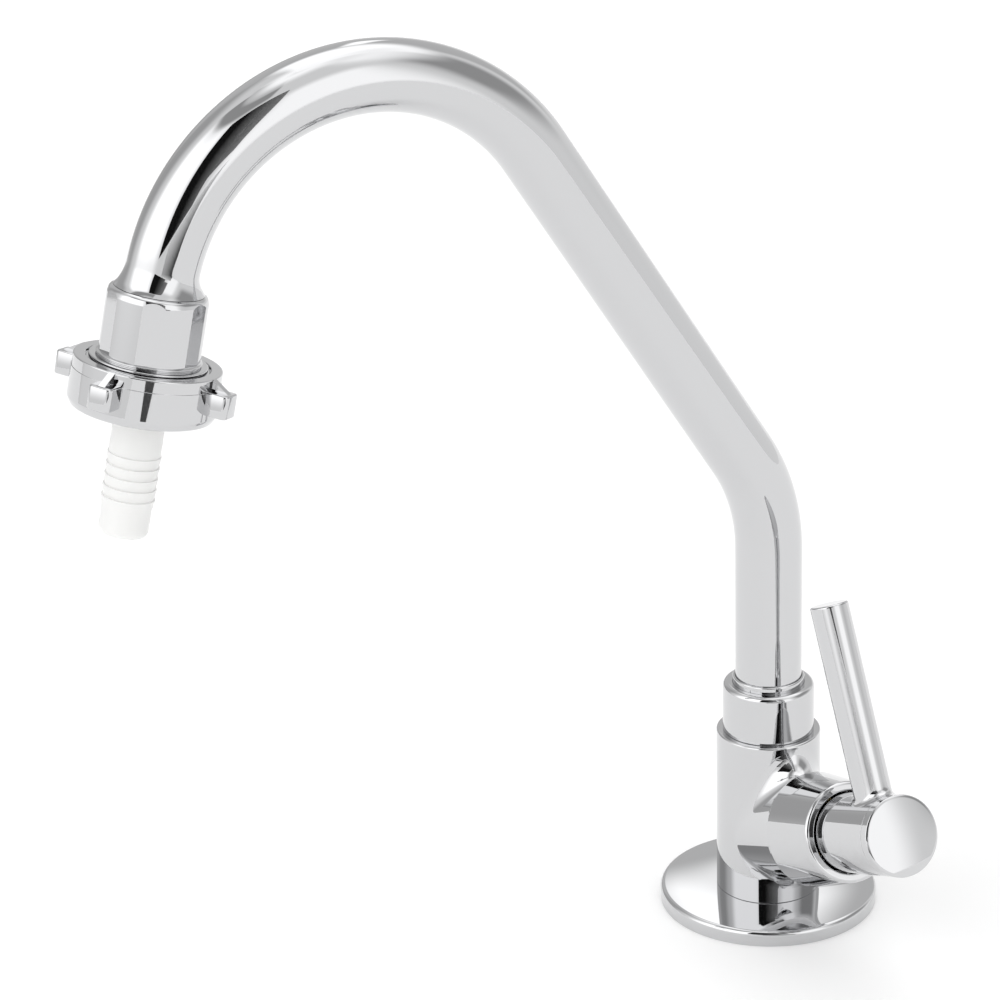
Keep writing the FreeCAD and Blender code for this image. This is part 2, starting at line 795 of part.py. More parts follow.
# Wing nut
nut = new_body("wing_nut", "outlet")
nut_bore = male_r + nut_room
turn(nut, "nut_turned", [
    (nut_bore + nut_mouth, nut_top),
    (nut_upper_r, nut_top),
    (nut_upper_r, nut_step),
    (nut_r, nut_step),
    (nut_r, nut_round_start),
    Bend(nut_round_r, True),
    (nut_face_r, nut_bottom),
    (nut_hole, nut_bottom),
    (nut_hole, tail_face),
    (nut_bore, tail_face),
    (nut_bore, nut_top + nut_mouth_depth),
    (nut_bore + nut_mouth, nut_top + nut_mouth_depth),
])
wing = new_sketch(nut, "wing_outline", "XY_Plane", (0, 0, wing_top), Z_AXIS, wing_angle)
draw(wing, [
    (wing_root, -wing_width / 2),
    (wing_reach - wing_edge, -wing_width / 2),
    Bend(wing_edge, True),
    (wing_reach, wing_edge - wing_width / 2),
    (wing_reach, wing_width / 2 - wing_edge),
    Bend(wing_edge, True),
    (wing_reach - wing_edge, wing_width / 2),
    (wing_root, wing_width / 2),
])
wing_pad = extrude(nut, "wing", wing, wing_height)
gusset = new_sketch(nut, "gusset_outline", "XZ_Plane", (0, 0, 0), Y_AXIS, wing_angle)
draw(gusset, [
    (wing_root, nut_top),
    (nut_upper_r, nut_top),
    (gusset_reach, wing_top),
    (wing_root, wing_top),
])
gusset_pad = nut.newObject("PartDesign::Pad", "gusset")
gusset_pad.Profile = gusset
gusset_pad.Midplane = True
gusset_pad.Length = gusset_t.value
bind(gusset_pad, "Length", gusset_t)
settled(nut, gusset_pad, wing_pad.Shape.Volume)
around(nut, "wings", [wing_pad, gusset_pad], 4)
keep(nut, "wing_nut")

# Headwork body
work = new_body("headwork_body", "handle")
male_thread_r = branch_thread_r - thread_room
pilot_major = chamber_r - ring_room - pilot_ring_r
pilot_bottom = pilot_major - pilot_ring_r - ring_room
pilot_half = pilot_ring_r + ring_slack
turn(work, "headwork_turned", [
    (shell_r - shell_wall, -shell_start),
    (shell_r, -shell_start),
    (shell_r, shell_floor),
    (pilot_r, shell_floor),
    (pilot_r, pilot_ring_at - pilot_half),
    (pilot_bottom, pilot_ring_at - pilot_half),
    (pilot_bottom, pilot_ring_at + pilot_half),
    (pilot_r, pilot_ring_at + pilot_half),
    (pilot_r, male_low),
    (male_thread_r, male_low),
    (male_thread_r, web_face),
    (neck_tube_r, web_face),
    (neck_tube_r, neck_end),
    (stem_r + running_room, neck_end),
    (stem_r + running_room, bore_step),
    (shaft_r + running_room, bore_step),
    (shaft_r + running_room, shell_floor),
    (shell_r - shell_wall, shell_floor),
])
hexagon = new_sketch(work, "hex_outline", "XY_Plane", (0, 0, web_face))
corner_r = hex_half / cosine(as_size(30))
draw(hexagon, [
    (corner_r, 0),
    (corner_r / 2, hex_half),
    (-corner_r / 2, hex_half),
    (-corner_r, 0),
    (-corner_r / 2, -hex_half),
    (corner_r / 2, -hex_half),
])
circle(hexagon, neck_tube_r - 0.5)
extrude(work, "hex", hexagon, hex_t)
window = new_sketch(work, "window_outline", "YZ_Plane", (0, 0, -chamber_r))
draw(window, rectangle(-window_width / 2, window_low, window_width / 2, window_low + window_height))
extrude(work, "windows", window, chamber_r * 2, cut=True)
keep(work, "headwork_body")

ring_pieces("headwork_o_ring", pilot_major, pilot_ring_r, [pilot_ring_at], "handle")

seal = new_body("headwork_seal", "handle")
turn(seal, "seal_ring", rectangle(seal_bore, -chamber_floor, seal_r, -disc_low))
keep(seal, "headwork_seal")


def port_holes(body, prefix, low, angle):
    for number, side in enumerate((1, -1), 1):
        name = "%s_port_%d_circle" % (prefix, number)
        sketch = new_sketch(body, name, "XY_Plane", (0, 0, low), Z_AXIS, angle)
        circle(sketch, port_r, port_offset * side, 0)
        extrude(body, "%s_port_%d" % (prefix, number), sketch, disc_t, cut=True)


fixed_disc = new_body("fixed_disc", "handle")
turn(fixed_disc, "fixed_disc_blank", rectangle(0, -disc_low, disc_r, disc_t - disc_low))
port_holes(fixed_disc, "fixed", -disc_low, 0)
keep(fixed_disc, "fixed_disc")

disc_top = disc_t * 2 - disc_low
moving_disc = new_body("moving_disc", "handle")
turn(moving_disc, "moving_disc_blank", rectangle(0, disc_t - disc_low, moving_disc_r, disc_top))
port_holes(moving_disc, "moving", disc_t - disc_low, 90)
slot = new_sketch(moving_disc, "slot_outline", "XY_Plane", (0, 0, disc_top - bar_depth))
half_length = bar_length / 2 + bar_room
half_width = bar_width / 2 + bar_room
draw(slot, rectangle(-half_length, -half_width, half_length, half_width))
extrude(moving_disc, "slot", slot, bar_depth, cut=True)
keep(moving_disc, "moving_disc")

# Spindle, its rings and its circlip
spindle = new_body("spindle", "handle")
stem_major = shaft_r + running_room - ring_room - stem_ring_r
stem_bottom = stem_major - stem_ring_r - ring_room
stem_half = stem_ring_r + ring_slack
clip_bottom = stem_r - clip_depth
collar_disc_top = collar_disc_low + collar_disc_t
turn(spindle, "spindle_turned", [
    (0, collar_disc_low),
    (collar_disc_r, collar_disc_low),
    (collar_disc_r, collar_disc_top),
    (shaft_r, collar_disc_top),
    (shaft_r, stem_ring_low - stem_half),
    (stem_bottom, stem_ring_low - stem_half),
    (stem_bottom, stem_ring_low + stem_half),
    (shaft_r, stem_ring_low + stem_half),
    (shaft_r, stem_ring_high - stem_half),
    (stem_bottom, stem_ring_high - stem_half),
    (stem_bottom, stem_ring_high + stem_half),
    (shaft_r, stem_ring_high + stem_half),
    (shaft_r, shaft_end),
    (stem_r, shaft_end),
    (stem_r, clip_at - clip_room),
    (clip_bottom, clip_at - clip_room),
    (clip_bottom, clip_at + clip_t + clip_room),
    (stem_r, clip_at + clip_t + clip_room),
    (stem_r, hub_well_end),
    (spline_r, hub_well_end),
    (spline_r, stem_end),
    (screw_r + tapped_room, stem_end),
    (screw_r + tapped_room, tapped_start),
    (0, tapped_start),
])
bar = new_sketch(spindle, "bar_outline", "XY_Plane", (0, 0, disc_top - bar_depth))
draw(bar, rectangle(-bar_length / 2, -bar_width / 2, bar_length / 2, bar_width / 2))
extrude(spindle, "drive_bar", bar, collar_disc_low - disc_top + bar_depth)
keep(spindle, "spindle")
ring_pieces("spindle_o_rings", stem_major, stem_ring_r, [stem_ring_low, stem_ring_high], "handle")

clip = new_body("spindle_circlip", "handle")
turn(clip, "circlip_ring", rectangle(clip_bottom, clip_at, clip_r, clip_at + clip_t))
clip_gap = new_sketch(clip, "circlip_gap_outline", "XY_Plane", (0, 0, clip_at))
draw(clip_gap, rectangle(0, -clip_bottom / 2, clip_r + 1, clip_bottom / 2))
extrude(clip, "circlip_gap", clip_gap, clip_t, cut=True)
keep(clip, "spindle_circlip")

# Shroud over the headwork
shroud = new_body("handle_shroud", "handle")
shroud_taper = (shroud_back_r - shroud_rim_r) / (shroud_rim - branch_face)
shroud_front = shroud_rim + shroud_round
inner_back_r = shroud_back_r - shroud_taper * shroud_web - shroud_wall
inner_rim_r = shroud_rim_r - shroud_wall
turn(shroud, "shroud_turned", [
    (male_thread_r + web_room, branch_face),
    (shroud_back_r, branch_face),
    (shroud_rim_r, shroud_rim),
    Bend(shroud_round, True),
    (shroud_rim_r - shroud_round, shroud_front),
    (shroud_mouth_r, shroud_front),
    (shroud_mouth_r, shroud_rim),
    (inner_rim_r, shroud_rim),
    (inner_back_r, web_face),
    (male_thread_r + web_room, web_face),
])
keep(shroud, "handle_shroud")

# Lever handle: hub and rod
lever = new_body("lever_handle", "handle")
turn(lever, "hub", rectangle(0, hub_back, hub_r, hub_front))
turn(lever, "rod", [
    (0, 0),
    (rod_r, 0),
    (rod_r, rod_length - rod_edge),
    Bend(rod_edge, True),
    (rod_r - rod_edge, rod_length),
    (0, rod_length),
], plane="XY_Plane", offset=(0, 0, rod_distance), angle=rod_lean + 90)
soften(lever, "rod_blend", between_cylinders(lever.Tip, hub_r, rod_r), rod_blend)
well_r = plug_r + plug_room
turn(lever, "hub_bores", [
    (0, hub_back),
    (hub_well_r, hub_back),
    (hub_well_r, hub_well_end),
    (spline_r + spline_room, hub_well_end),
    (spline_r + spline_room, spline_end),
    (screw_r + screw_room, spline_end),
    (screw_r + screw_room, hub_floor),
    (well_r, hub_floor),
    (well_r, hub_front),
    (0, hub_front),
], cut=True)
keep(lever, "lever_handle")

screw = new_body("handle_screw", "handle")
head_top = hub_floor + screw_head_t
turn(screw, "screw_turned", [
    (0, screw_start),
    (screw_r, screw_start),
    (screw_r, hub_floor),
    (screw_head_r, hub_floor),
    (screw_head_r, head_top),
    (0, head_top),
])
screw_cut = new_sketch(screw, "slot_outline_screw", "XY_Plane", (0, 0, head_top - screw_slot_depth))
draw(screw_cut, rectangle(-screw_head_r - 1, -screw_slot / 2, screw_head_r + 1, screw_slot / 2))
extrude(screw, "screw_slot", screw_cut, screw_slot_depth, cut=True)
keep(screw, "handle_screw")

cap = new_body("hub_cap", "handle")
cap_low = hub_front + cap_seam
cap_face = cap_low + cap_side + cap_edge
cap_face_r = hub_r - cap_edge
crown_r = (cap_face_r * cap_face_r + dome_height * dome_height) / (dome_height * 2)
turn(cap, "cap_turned", [
    (0, cap_low - plug_length),
    (plug_r, cap_low - plug_length),
    (plug_r, cap_low),
    (hub_r, cap_low),
    (hub_r, cap_low + cap_side),
    (cap_face_r, cap_face),
    Bend(crown_r, True),
    (0, cap_face + dome_height),
])
keep(cap, "hub_cap")

doc.recompute()
for item in doc.Objects:
    if "Invalid" in item.State or "Error" in item.State:
        raise RuntimeError("broken object " + item.Label)
for name, item in nodes:
    shape = item.Shape
    if shape.isNull() or not shape.isValid() or shape.Volume <= 0:
        raise RuntimeError("bad shape in " + name)
    shape.exportStep("parts/%s.step" % name)
    print("%-18s %9.1f mm3, %d solid(s)" % (name, shape.Volume, len(shape.Solids)))
print("%d nodes" % len(nodes))
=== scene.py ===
"""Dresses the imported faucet: polished chrome, a white hose tail, a white studio and the camera.

Run as a script inside Blender. Lengths are in metres in the part's own frame: the origin is the
centre of the base on the deck, Z is up, the spout reaches over -Y and the handle points to +X.
"""

import json
import math

import bmesh
import bpy
from mathutils import Matrix, Vector


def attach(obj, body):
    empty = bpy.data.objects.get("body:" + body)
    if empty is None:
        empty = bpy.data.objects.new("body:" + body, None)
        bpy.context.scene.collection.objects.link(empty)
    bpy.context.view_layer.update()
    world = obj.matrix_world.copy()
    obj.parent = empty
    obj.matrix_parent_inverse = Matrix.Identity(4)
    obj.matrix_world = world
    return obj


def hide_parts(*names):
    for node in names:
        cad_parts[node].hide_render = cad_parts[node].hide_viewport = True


bl_info = {
    "name": "Utility faucet looks",
    "version": (1, 0, 0),
    "blender": (4, 5, 0),
    "location": "View3D > Sidebar > Faucet",
    "description": "Builds the visible pieces of a utility faucet around its packed model",
    "category": "Object",
}

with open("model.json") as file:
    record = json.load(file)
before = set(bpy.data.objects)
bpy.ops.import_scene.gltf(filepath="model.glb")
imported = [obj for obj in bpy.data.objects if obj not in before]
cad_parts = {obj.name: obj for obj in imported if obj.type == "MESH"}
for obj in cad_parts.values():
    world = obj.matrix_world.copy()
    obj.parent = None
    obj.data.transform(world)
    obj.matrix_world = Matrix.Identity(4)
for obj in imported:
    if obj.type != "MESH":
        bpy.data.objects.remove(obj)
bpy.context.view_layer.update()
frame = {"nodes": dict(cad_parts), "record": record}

mm = 0.001
UP = Vector((0, 0, 1))

# A short flat stretch on both sides of each rounding, which keeps its shading clean.
GUARD = 0.04 * mm

# Where the camera stands, and how far that is round from the handle's side.
CAMERA_PLACE = Vector((804.822, -476.738, 501.731)) * mm
CAMERA_TURN = math.radians(30.65)

# How far from the faucet the dark cards of painted shade stand.
CARD_DISTANCE = 0.97

# Which finish each material slot of the record gets.
FINISHES = {
    "chromed_brass": "polished_chrome",
    "brass": "turned_brass",
    "rubber": "black_rubber",
    "white_nylon": "moulded_nylon",
    "bush_plastic": "moulded_bush",
    "ceramic": "fired_ceramic",
    "steel": "bright_steel",
}

# Soft lights of the tent, in degrees: middle and half width round from the camera (right is
# positive), lowest and highest elevation, softness of the edge, brightness against the tent.
SOFT_LIGHTS = (
    (-140, 33, -10, 50, 12, 0.5),
    (-52, 34, 4, 56, 10, 1.8),
    (45, 16, -10, 42, 8, 1.5),
    (101, 25, 11, 47, 10, 0.41),
    (165, 48, 48, 90, 7, 1.7),
    (-40, 54, 58, 71, 3, 0.4),
    (-48, 59, 71, 80, 3, 0.6),
    (107, 39, 52, 75, 14, 1.44),
    (0, 181, 77, 91, 9, 1.6),
    (180, 40, 8, 44, 6, 0.65),
    (181.6, 4, 27.5, 44, 2, 1.65),
)

# Dark cards behind the camera, which paint the unlit room's shade into the chrome's reflections, in metres:
# left and right edge from the middle, lowest, highest.
HIGH_SHADE_CARDS = (
    (-0.37, 0.19, 0.3, 1.55),
    (0.191, 0.39, 0.42, 1.55),
)
LOW_SHADE_CARDS = ((-0.08, 0.5, 0.001, 0.28),)


def length(name, description, value):
    return bpy.props.FloatProperty(
        name=name, description=description, default=value, subtype="DISTANCE", unit="LENGTH"
    )


def angle(name, description, value):
    return bpy.props.FloatProperty(
        name=name, description=description, default=math.radians(value), subtype="ANGLE", unit="ROTATION"
    )


def tone(name, description, value):
    return bpy.props.FloatVectorProperty(
        name=name, description=description, default=value, size=3, min=0, max=1, subtype="COLOR"
    )


def amount(name, description, value):
    return bpy.props.FloatProperty(
        name=name, description=description, default=value, min=0, subtype="FACTOR"
    )


class FaucetSpout(bpy.types.PropertyGroup):
    tube_radius: length("Tube radius", "Outer radius of the spout tube", 9.525 * mm)
    tube_wall: length("Tube wall", "Wall of the spout tube", 1.0 * mm)
    foot: length("Tube foot", "Height of the tube's lower end", 46.4 * mm)
    bend_start: length("Lower bend", "Height where the lower bend starts", 110.8 * mm)
    bend_radius: length("Lower bend radius", "Centreline radius of the lower bend", 55.8 * mm)
    lean: angle("Lean", "Angle of the sloping run from upright", 32.7)
    slope: length("Slope length", "Length of the sloping run", 116.1 * mm)
    arch_radius: length("Arch radius", "Centreline radius of the arch", 58.4 * mm)
    arch: angle("Arch angle", "Turn of the arch", 134.6)
    bell_depth: length("Bell depth", "Where the bell starts, above the end of the arch", 4.7 * mm)
    bell_radius: length("Bell flare", "Radius of the bell's flare", 8.75 * mm)
    bell_angle: angle("Bell angle", "Turn of the bell's flare", 41.3)


class FaucetBase(bpy.types.PropertyGroup):
    flange_radius: length("Flange radius", "Outer radius of the deck flange", 31.6 * mm)
    flange_thickness: length("Flange thickness", "Height of the deck flange", 5.0 * mm)
    flange_rounding: length("Flange rounding", "Rounding of the flange's upper edge", 1.4 * mm)
    flange_fall: length("Flange fall", "How far the flange's top falls from the body to the rim", 0.45 * mm)
    body_radius: length("Body radius", "Radius of the upright body", 15.0 * mm)
    body_top: length("Body height", "Height of the upright body's top", 54.8 * mm)
    axis_height: length("Handle axis height", "Where the handle axis leaves the body's axis", 22.75 * mm)
    rise: angle("Handle rise", "Angle of the handle axis above level", 21.8)
    neck_radius: length("Neck radius", "Radius of the side branch", 14.2 * mm)
    blend_radius: length("Neck blend", "Rounding between body and side branch", 6.5 * mm)
    flare_radius: length("Flare radius", "Radius of the rim at the side branch's end", 16.2 * mm)
    flare_turn: angle("Flare turn", "Turn of the arc that widens the side branch to its rim", 71.3)
    socket_radius: length("Socket radius", "Radius of the body's bore for the collar", 12.0 * mm)
    collar_radius: length("Collar radius", "Radius of the spout collar", 13.15 * mm)
    collar_top: length("Collar top", "Height of the collar's top", 69.7 * mm)
    collar_rounding: length("Collar rounding", "Rounding of the collar's upper edge", 1.6 * mm)
    bush_radius: length("Bush radius", "Radius of the ring round the tube", 10.3 * mm)
    bush_top: length("Bush top", "Height of the ring's top", 71.7 * mm)
    ring_foot: length("Ring foot", "Height of the ring's seat in the collar", 60.0 * mm)


class FaucetOutlet(bpy.types.PropertyGroup):
    adapter_radius: length("Adapter radius", "Radius of the outlet adapter", 13.04 * mm)
    half_flats: length("Half flats", "Half the width across the wrench flats", 12.725 * mm)
    flat_end: length("Flats' end", "Where the wrench flats end along the outlet axis", 18.3 * mm)
    flat_angle: angle("Flat angle", "Turn of the first wrench flat about the outlet axis", 26.0)
    nut_radius: length("Nut radius", "Radius of the wing nut", 19.3 * mm)
    nut_top: length("Nut top", "Upper edge of the nut along the outlet axis", 19.96 * mm)
    nut_bottom: length("Nut bottom", "Lower face of the nut along the outlet axis", 33.5 * mm)
    wing_reach: length("Wing reach", "How far the wings stand out from the axis", 24.9 * mm)
    wing_top: length("Wing top", "Upper side of the wings along the outlet axis", 22.85 * mm)
    wing_bottom: length("Wing bottom", "Lower side of the wings along the outlet axis", 29.0 * mm)
    wing_width: length("Wing width", "Width of a wing", 6.5 * mm)
    wing_angle: angle("Wing angle", "Turn of the first wing about the outlet axis", -40.0)
    tail_radius: length("Tail radius", "Radius of the hose tail's neck", 6.75 * mm)
    ridge_radius: length("Ridge radius", "Radius of the hose tail's ridges", 7.0 * mm)
    tail_end: length("Tail end", "Lower end of the hose tail along the outlet axis", 66.3 * mm)


class FaucetHandle(bpy.types.PropertyGroup):
    branch_face: length("Branch face", "Where the side branch ends along the handle axis", 29.8 * mm)
    shroud_back: length("Shroud back radius", "Radius of the shroud's back edge", 16.5 * mm)
    shroud_rim: length("Shroud rim radius", "Radius of the shroud's front rim", 14.2 * mm)
    shroud_face: length("Shroud face", "Front of the shroud along the handle axis", 48.9 * mm)
    shroud_mouth: length("Shroud mouth", "Radius of the shroud's opening for the hub", 11.65 * mm)
    hub_radius: length("Hub radius", "Radius of the lever's hub", 11.33 * mm)
    hub_back: length("Hub back", "Back of the hub along the handle axis", 45.6 * mm)
    hub_front: length("Hub front", "Front of the hub along the handle axis", 74.0 * mm)
    rod_distance: length("Rod distance", "Where the lever rod stands along the handle axis", 66.3 * mm)
    rod_radius: length("Rod radius", "Radius of the lever rod", 5.35 * mm)
    rod_length: length("Rod length", "Tip of the lever rod from the handle axis", 65.5 * mm)
    rod_lean: angle("Rod lean", "Lean of the lever towards the spout", 2.5)
    rod_blend: length("Rod blend", "Rounding between the lever rod and its hub", 2.2 * mm)
    cap_rise: length("Cap rise", "How far the cap's middle stands out from its rim", 0.79 * mm)


class FaucetFinish(bpy.types.PropertyGroup):
    chrome: tone("Chrome", "Colour of the chrome plate", (0.605, 0.607, 0.615))
    chrome_roughness: amount("Chrome roughness", "Softness of the chrome's reflections", 0.03)
    nylon: tone("Nylon", "Colour of the hose tail", (0.8, 0.8, 0.79))
    brass: tone("Brass", "Colour of the machined brass", (0.72, 0.55, 0.26))
    rubber: tone("Rubber", "Colour of the rings and washers", (0.02, 0.02, 0.02))
    bush: tone("Bush", "Colour of the plastic bush", (0.75, 0.75, 0.76))
    ceramic: tone("Ceramic", "Colour of the valve discs", (0.88, 0.87, 0.83))
    steel: tone("Steel", "Colour of the screw and circlip", (0.55, 0.55, 0.55))


class FaucetStudio(bpy.types.PropertyGroup):
    azimuth: angle("Camera azimuth", "Where the camera stands round the faucet", 64.0)
    elevation: angle("Camera elevation", "How far the camera looks down", 21.859)
    roll: angle("Camera roll", "Turn of the picture", -1.63)
    lens: bpy.props.FloatProperty(
        name="Lens", description="Focal length on a 36 mm sensor", default=128.453, unit="CAMERA"
    )
    light: bpy.props.FloatProperty(
        name="Light", description="Strength of the white studio", default=0.95, min=0
    )


def handle_place(base):
    """The frame whose Z runs out along the handle axis and whose -X is the lever's way up."""
    turned = Matrix.Rotation(math.pi / 2 - base.rise, 4, "Y")
    return Matrix.Translation((0, 0, base.axis_height)) @ turned


def arch_point(spout, turn):
    """The (reach, height, turn) of a point on the arch, where the tube has turned so far from upright."""
    reach = spout.bend_radius * (1 - math.cos(spout.lean)) + spout.slope * math.sin(spout.lean)
    height = spout.bend_start + spout.bend_radius * math.sin(spout.lean) + spout.slope * math.cos(spout.lean)
    reach += spout.arch_radius * (math.cos(spout.lean) - math.cos(turn))
    height += spout.arch_radius * (math.sin(turn) - math.sin(spout.lean))
    return reach, height, turn


def spout_stations(spout):
    """Stations of (reach, height, turn from upright) along the tube, and those of the bell at its end.

    The bell's stations have a fourth value: how far they lie past the end of the arch.
    """
    runs = [(0, spout.foot, 0), (0, spout.bend_start - 0.5 * mm, 0)]
    bend_steps = 24
    for number in range(bend_steps + 1):
        turn = spout.lean * number / bend_steps
        reach = spout.bend_radius * (1 - math.cos(turn))
        runs.append((reach, spout.bend_start + spout.bend_radius * math.sin(turn), turn))
    reach, height, turn = runs[-1]
    slope_steps = 12
    for number in range(1, slope_steps):
        ahead = spout.slope * number / slope_steps
        runs.append((reach + ahead * math.sin(turn), height + ahead * math.cos(turn), turn))
    bell_turn = spout.bell_depth / spout.arch_radius
    arch_steps = 110
    for number in range(arch_steps + 1):
        runs.append(arch_point(spout, spout.lean + (spout.arch - bell_turn) * number / arch_steps))
    bell_length = spout.bell_radius * math.sin(spout.bell_angle)
    bells = []
    bell_steps = 16
    for number in range(1, bell_steps + 1):
        station = bell_length * number / bell_steps - spout.bell_depth
        turn = spout.lean + spout.arch + min(station, 0) / spout.arch_radius
        reach, height, turn = arch_point(spout, turn)
        ahead = max(station, 0)
        bells.append((reach + ahead * math.sin(turn), height + ahead * math.cos(turn), turn, station))
    return runs, bells


def outlet_place(spout):
    """The frame whose origin is the end of the arch and whose Z runs down out of the outlet."""
    reach, height, turn = arch_point(spout, spout.lean + spout.arch)
    return Matrix.Translation((0, -reach, height)) @ Matrix.Rotation(turn, 4, "X")


def fan(first, last, steps):
    """Arms of equal length, spread evenly from one to another, ends included."""
    turn = first.angle(last)
    for number in range(steps + 1):
        ahead = turn * number / steps
        yield (first * math.sin(turn - ahead) + last * math.sin(ahead)) / math.sin(turn)


def rounded(corners):
    """Turns corners of (radius, distance) or (radius, distance, rounding) into profile points."""
    step = math.radians(9)
    points = []
    count = len(corners)
    for index, corner in enumerate(corners):
        here = Vector(corner[:2])
        if len(corner) < 3:
            points.append(here)
            continue
        before = (Vector(corners[index - 1][:2]) - here).normalized()
        after = (Vector(corners[(index + 1) % count][:2]) - here).normalized()
        half = before.angle(after) / 2
        rounding = corner[2]
        reach = rounding / math.tan(half)
        centre = here + (before + after).normalized() * rounding / math.sin(half)
        start = here + before * reach - centre
        stop = here + after * reach - centre
        steps = max(3, math.ceil(start.angle(stop) / step))
        points.append(here + before * (reach + GUARD))
        points += [centre + arm for arm in fan(start, stop, steps)]
        points.append(here + after * (reach + GUARD))
    return points


def lathe(profile, place, steps=160, closed=True):
    """A turned solid: a profile of (radius, distance) points, spun about the Z axis of a place."""
    bm = bmesh.new()
    verts = [bm.verts.new((radius, 0, distance)) for radius, distance in profile]
    edges = [bm.edges.new(pair) for pair in zip(verts, verts[1:])]
    if closed:
        edges.append(bm.edges.new((verts[-1], verts[0])))
    bmesh.ops.spin(
        bm, geom=verts + edges, cent=(0, 0, 0), axis=(0, 0, 1), angle=2 * math.pi, steps=steps,
        use_merge=True
    )
    bmesh.ops.transform(bm, matrix=place, verts=bm.verts)
    bmesh.ops.remove_doubles(bm, verts=bm.verts, dist=1e-7)
    bmesh.ops.recalc_face_normals(bm, faces=bm.faces)
    return bm


def object_of(name, bm):
    """Turns a bmesh into an object of the scene."""
    mesh = bpy.data.meshes.new(name)
    bm.to_mesh(mesh)
    bm.free()
    made = bpy.data.objects.new(name, mesh)
    bpy.context.scene.collection.objects.link(made)
    return made


def piece(name, bm, body, slot, *nodes, sharp=30):
    """Makes a finished object of a bmesh, with edges crisp above an angle, and ties it to the frame."""
    for face in bm.faces:
        face.smooth = True
    for edge in bm.edges:
        edge.smooth = not (edge.is_manifold and edge.calc_face_angle() > math.radians(sharp))
    made = object_of(name, bm)
    made.data.materials.append(bpy.data.materials[FINISHES[slot]])
    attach(made, body)
    if nodes:
        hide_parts(*nodes)


def blend_columns(place, rod_radius, round_radius, hub_point, hub_way, hub_radius, steps, rows):
    """Columns of points for a rounding between a rod, along the Z of a place, and a round hub.

    A ball of the rounding's radius rolls round the rod's foot. Each column runs from the rod to the hub
    and ends with a short skirt that dips under the hub's surface.
    """
    skirt_length, skirt_dip = 0.15 * mm, 0.01 * mm
    out = place.to_3x3()
    axis = out @ UP
    found = []
    for number in range(steps):
        turn = 2 * math.pi * number / steps
        side = out @ Vector((math.cos(turn), math.sin(turn), 0))
        start = place.translation + side * (rod_radius + round_radius) - hub_point
        flat_start = start - hub_way * start.dot(hub_way)
        flat_axis = axis - hub_way * axis.dot(hub_way)
        a = flat_axis.length_squared
        b = 2 * flat_start.dot(flat_axis)
        c = flat_start.length_squared - (hub_radius + round_radius) ** 2
        ahead = (-b + math.sqrt(b * b - 4 * a * c)) / (2 * a)
        ball = hub_point + start + axis * ahead
        away = ball - hub_point
        away = (away - hub_way * away.dot(hub_way)).normalized()
        first, last = -side, -away
        column = [ball + arm * round_radius for arm in fan(first, last, rows)]
        tangent = (last * first.dot(last) - first).normalized()
        column.append(column[-1] + tangent * skirt_length + last * skirt_dip)
        found.append(column)
    return found


def radius_at(profile, distance):
    """Radius of a rod's profile, which runs from the tip to the foot, at a distance along the rod."""
    for (outer, ahead), (inner, behind) in zip(profile, profile[1:]):
        if behind <= distance < ahead:
            return inner + (outer - inner) * (distance - behind) / (ahead - behind)
    return profile[-1][0] if distance < profile[-1][1] else math.inf


def crossing(place, profile, column):
    """Where a rounding comes out of the rod's flare: the point, and how many rows lie before it."""
    back = place.inverted()
    margins = []
    for point in column:
        local = back @ point
        margins.append(math.hypot(local.x, local.y) - radius_at(profile, local.z))
    if margins[0] > -0.01 * mm:
        return column[0], 0
    count = next(index for index, margin in enumerate(margins) if margin > 0)
    inside, outside = column[count - 1], column[count]
    halvings = 30
    for _ in range(halvings):
        middle = (inside + outside) / 2
        local = back @ middle
        if math.hypot(local.x, local.y) < radius_at(profile, local.z):
            inside = middle
        else:
            outside = middle
    return outside, count


def rod_on_hub(bm, place, profile, round_radius, hub_point, hub_way, hub_radius, steps=128):
    """A turned rod whose foot is rounded into a hub. The profile runs from the tip to the foot.

    A rounding that reaches into the rod's flare is cut where the two cross. The rows at the tip stay whole.
    """
    rows = 10
    kept_rows = 4
    rod_radius = profile[-1][0]
    columns = blend_columns(place, rod_radius, round_radius, hub_point, hub_way, hub_radius, steps, rows)
    crossings = [crossing(place, profile, column) for column in columns]
    tip_rows = len(profile)
    grid = bmesh.ops.create_grid(bm, x_segments=steps, y_segments=tip_rows + rows + 1, size=1)
    verts = sorted(grid["verts"], key=lambda vert: (round(vert.co.y, 6), vert.co.x))
    width = steps + 1
    for index, vert in enumerate(verts):
        row, number = divmod(index, width)
        turn = 2 * math.pi * number / steps
        meeting, skipped = crossings[number % steps]
        if row < tip_rows:
            radius, distance = profile[row]
            vert.co = place @ Vector((radius * math.cos(turn), radius * math.sin(turn), distance))
            if skipped and row >= kept_rows and distance < (place.inverted() @ meeting).z:
                vert.co = meeting
        elif row - tip_rows < skipped:
            vert.co = meeting
        else:
            vert.co = columns[number % steps][row - tip_rows]
    bmesh.ops.remove_doubles(bm, verts=bm.verts, dist=1e-7)


def new_material(name, metallic, roughness):
    """A material, its node tree and its shader."""
    material = bpy.data.materials.new(name)
    material.use_nodes = True
    tree = material.node_tree
    shader = tree.nodes["Principled BSDF"]
    shader.inputs["Metallic"].default_value = metallic
    shader.inputs["Roughness"].default_value = roughness
    return material, tree, shader


def noise_of(tree, scale):
    """Fine noise that sits on the piece."""
    place = tree.nodes.new("ShaderNodeTexCoord")
    noise = tree.nodes.new("ShaderNodeTexNoise")
    noise.inputs["Scale"].default_value = scale
    tree.links.new(place.outputs["Object"], noise.inputs["Vector"])
    return noise


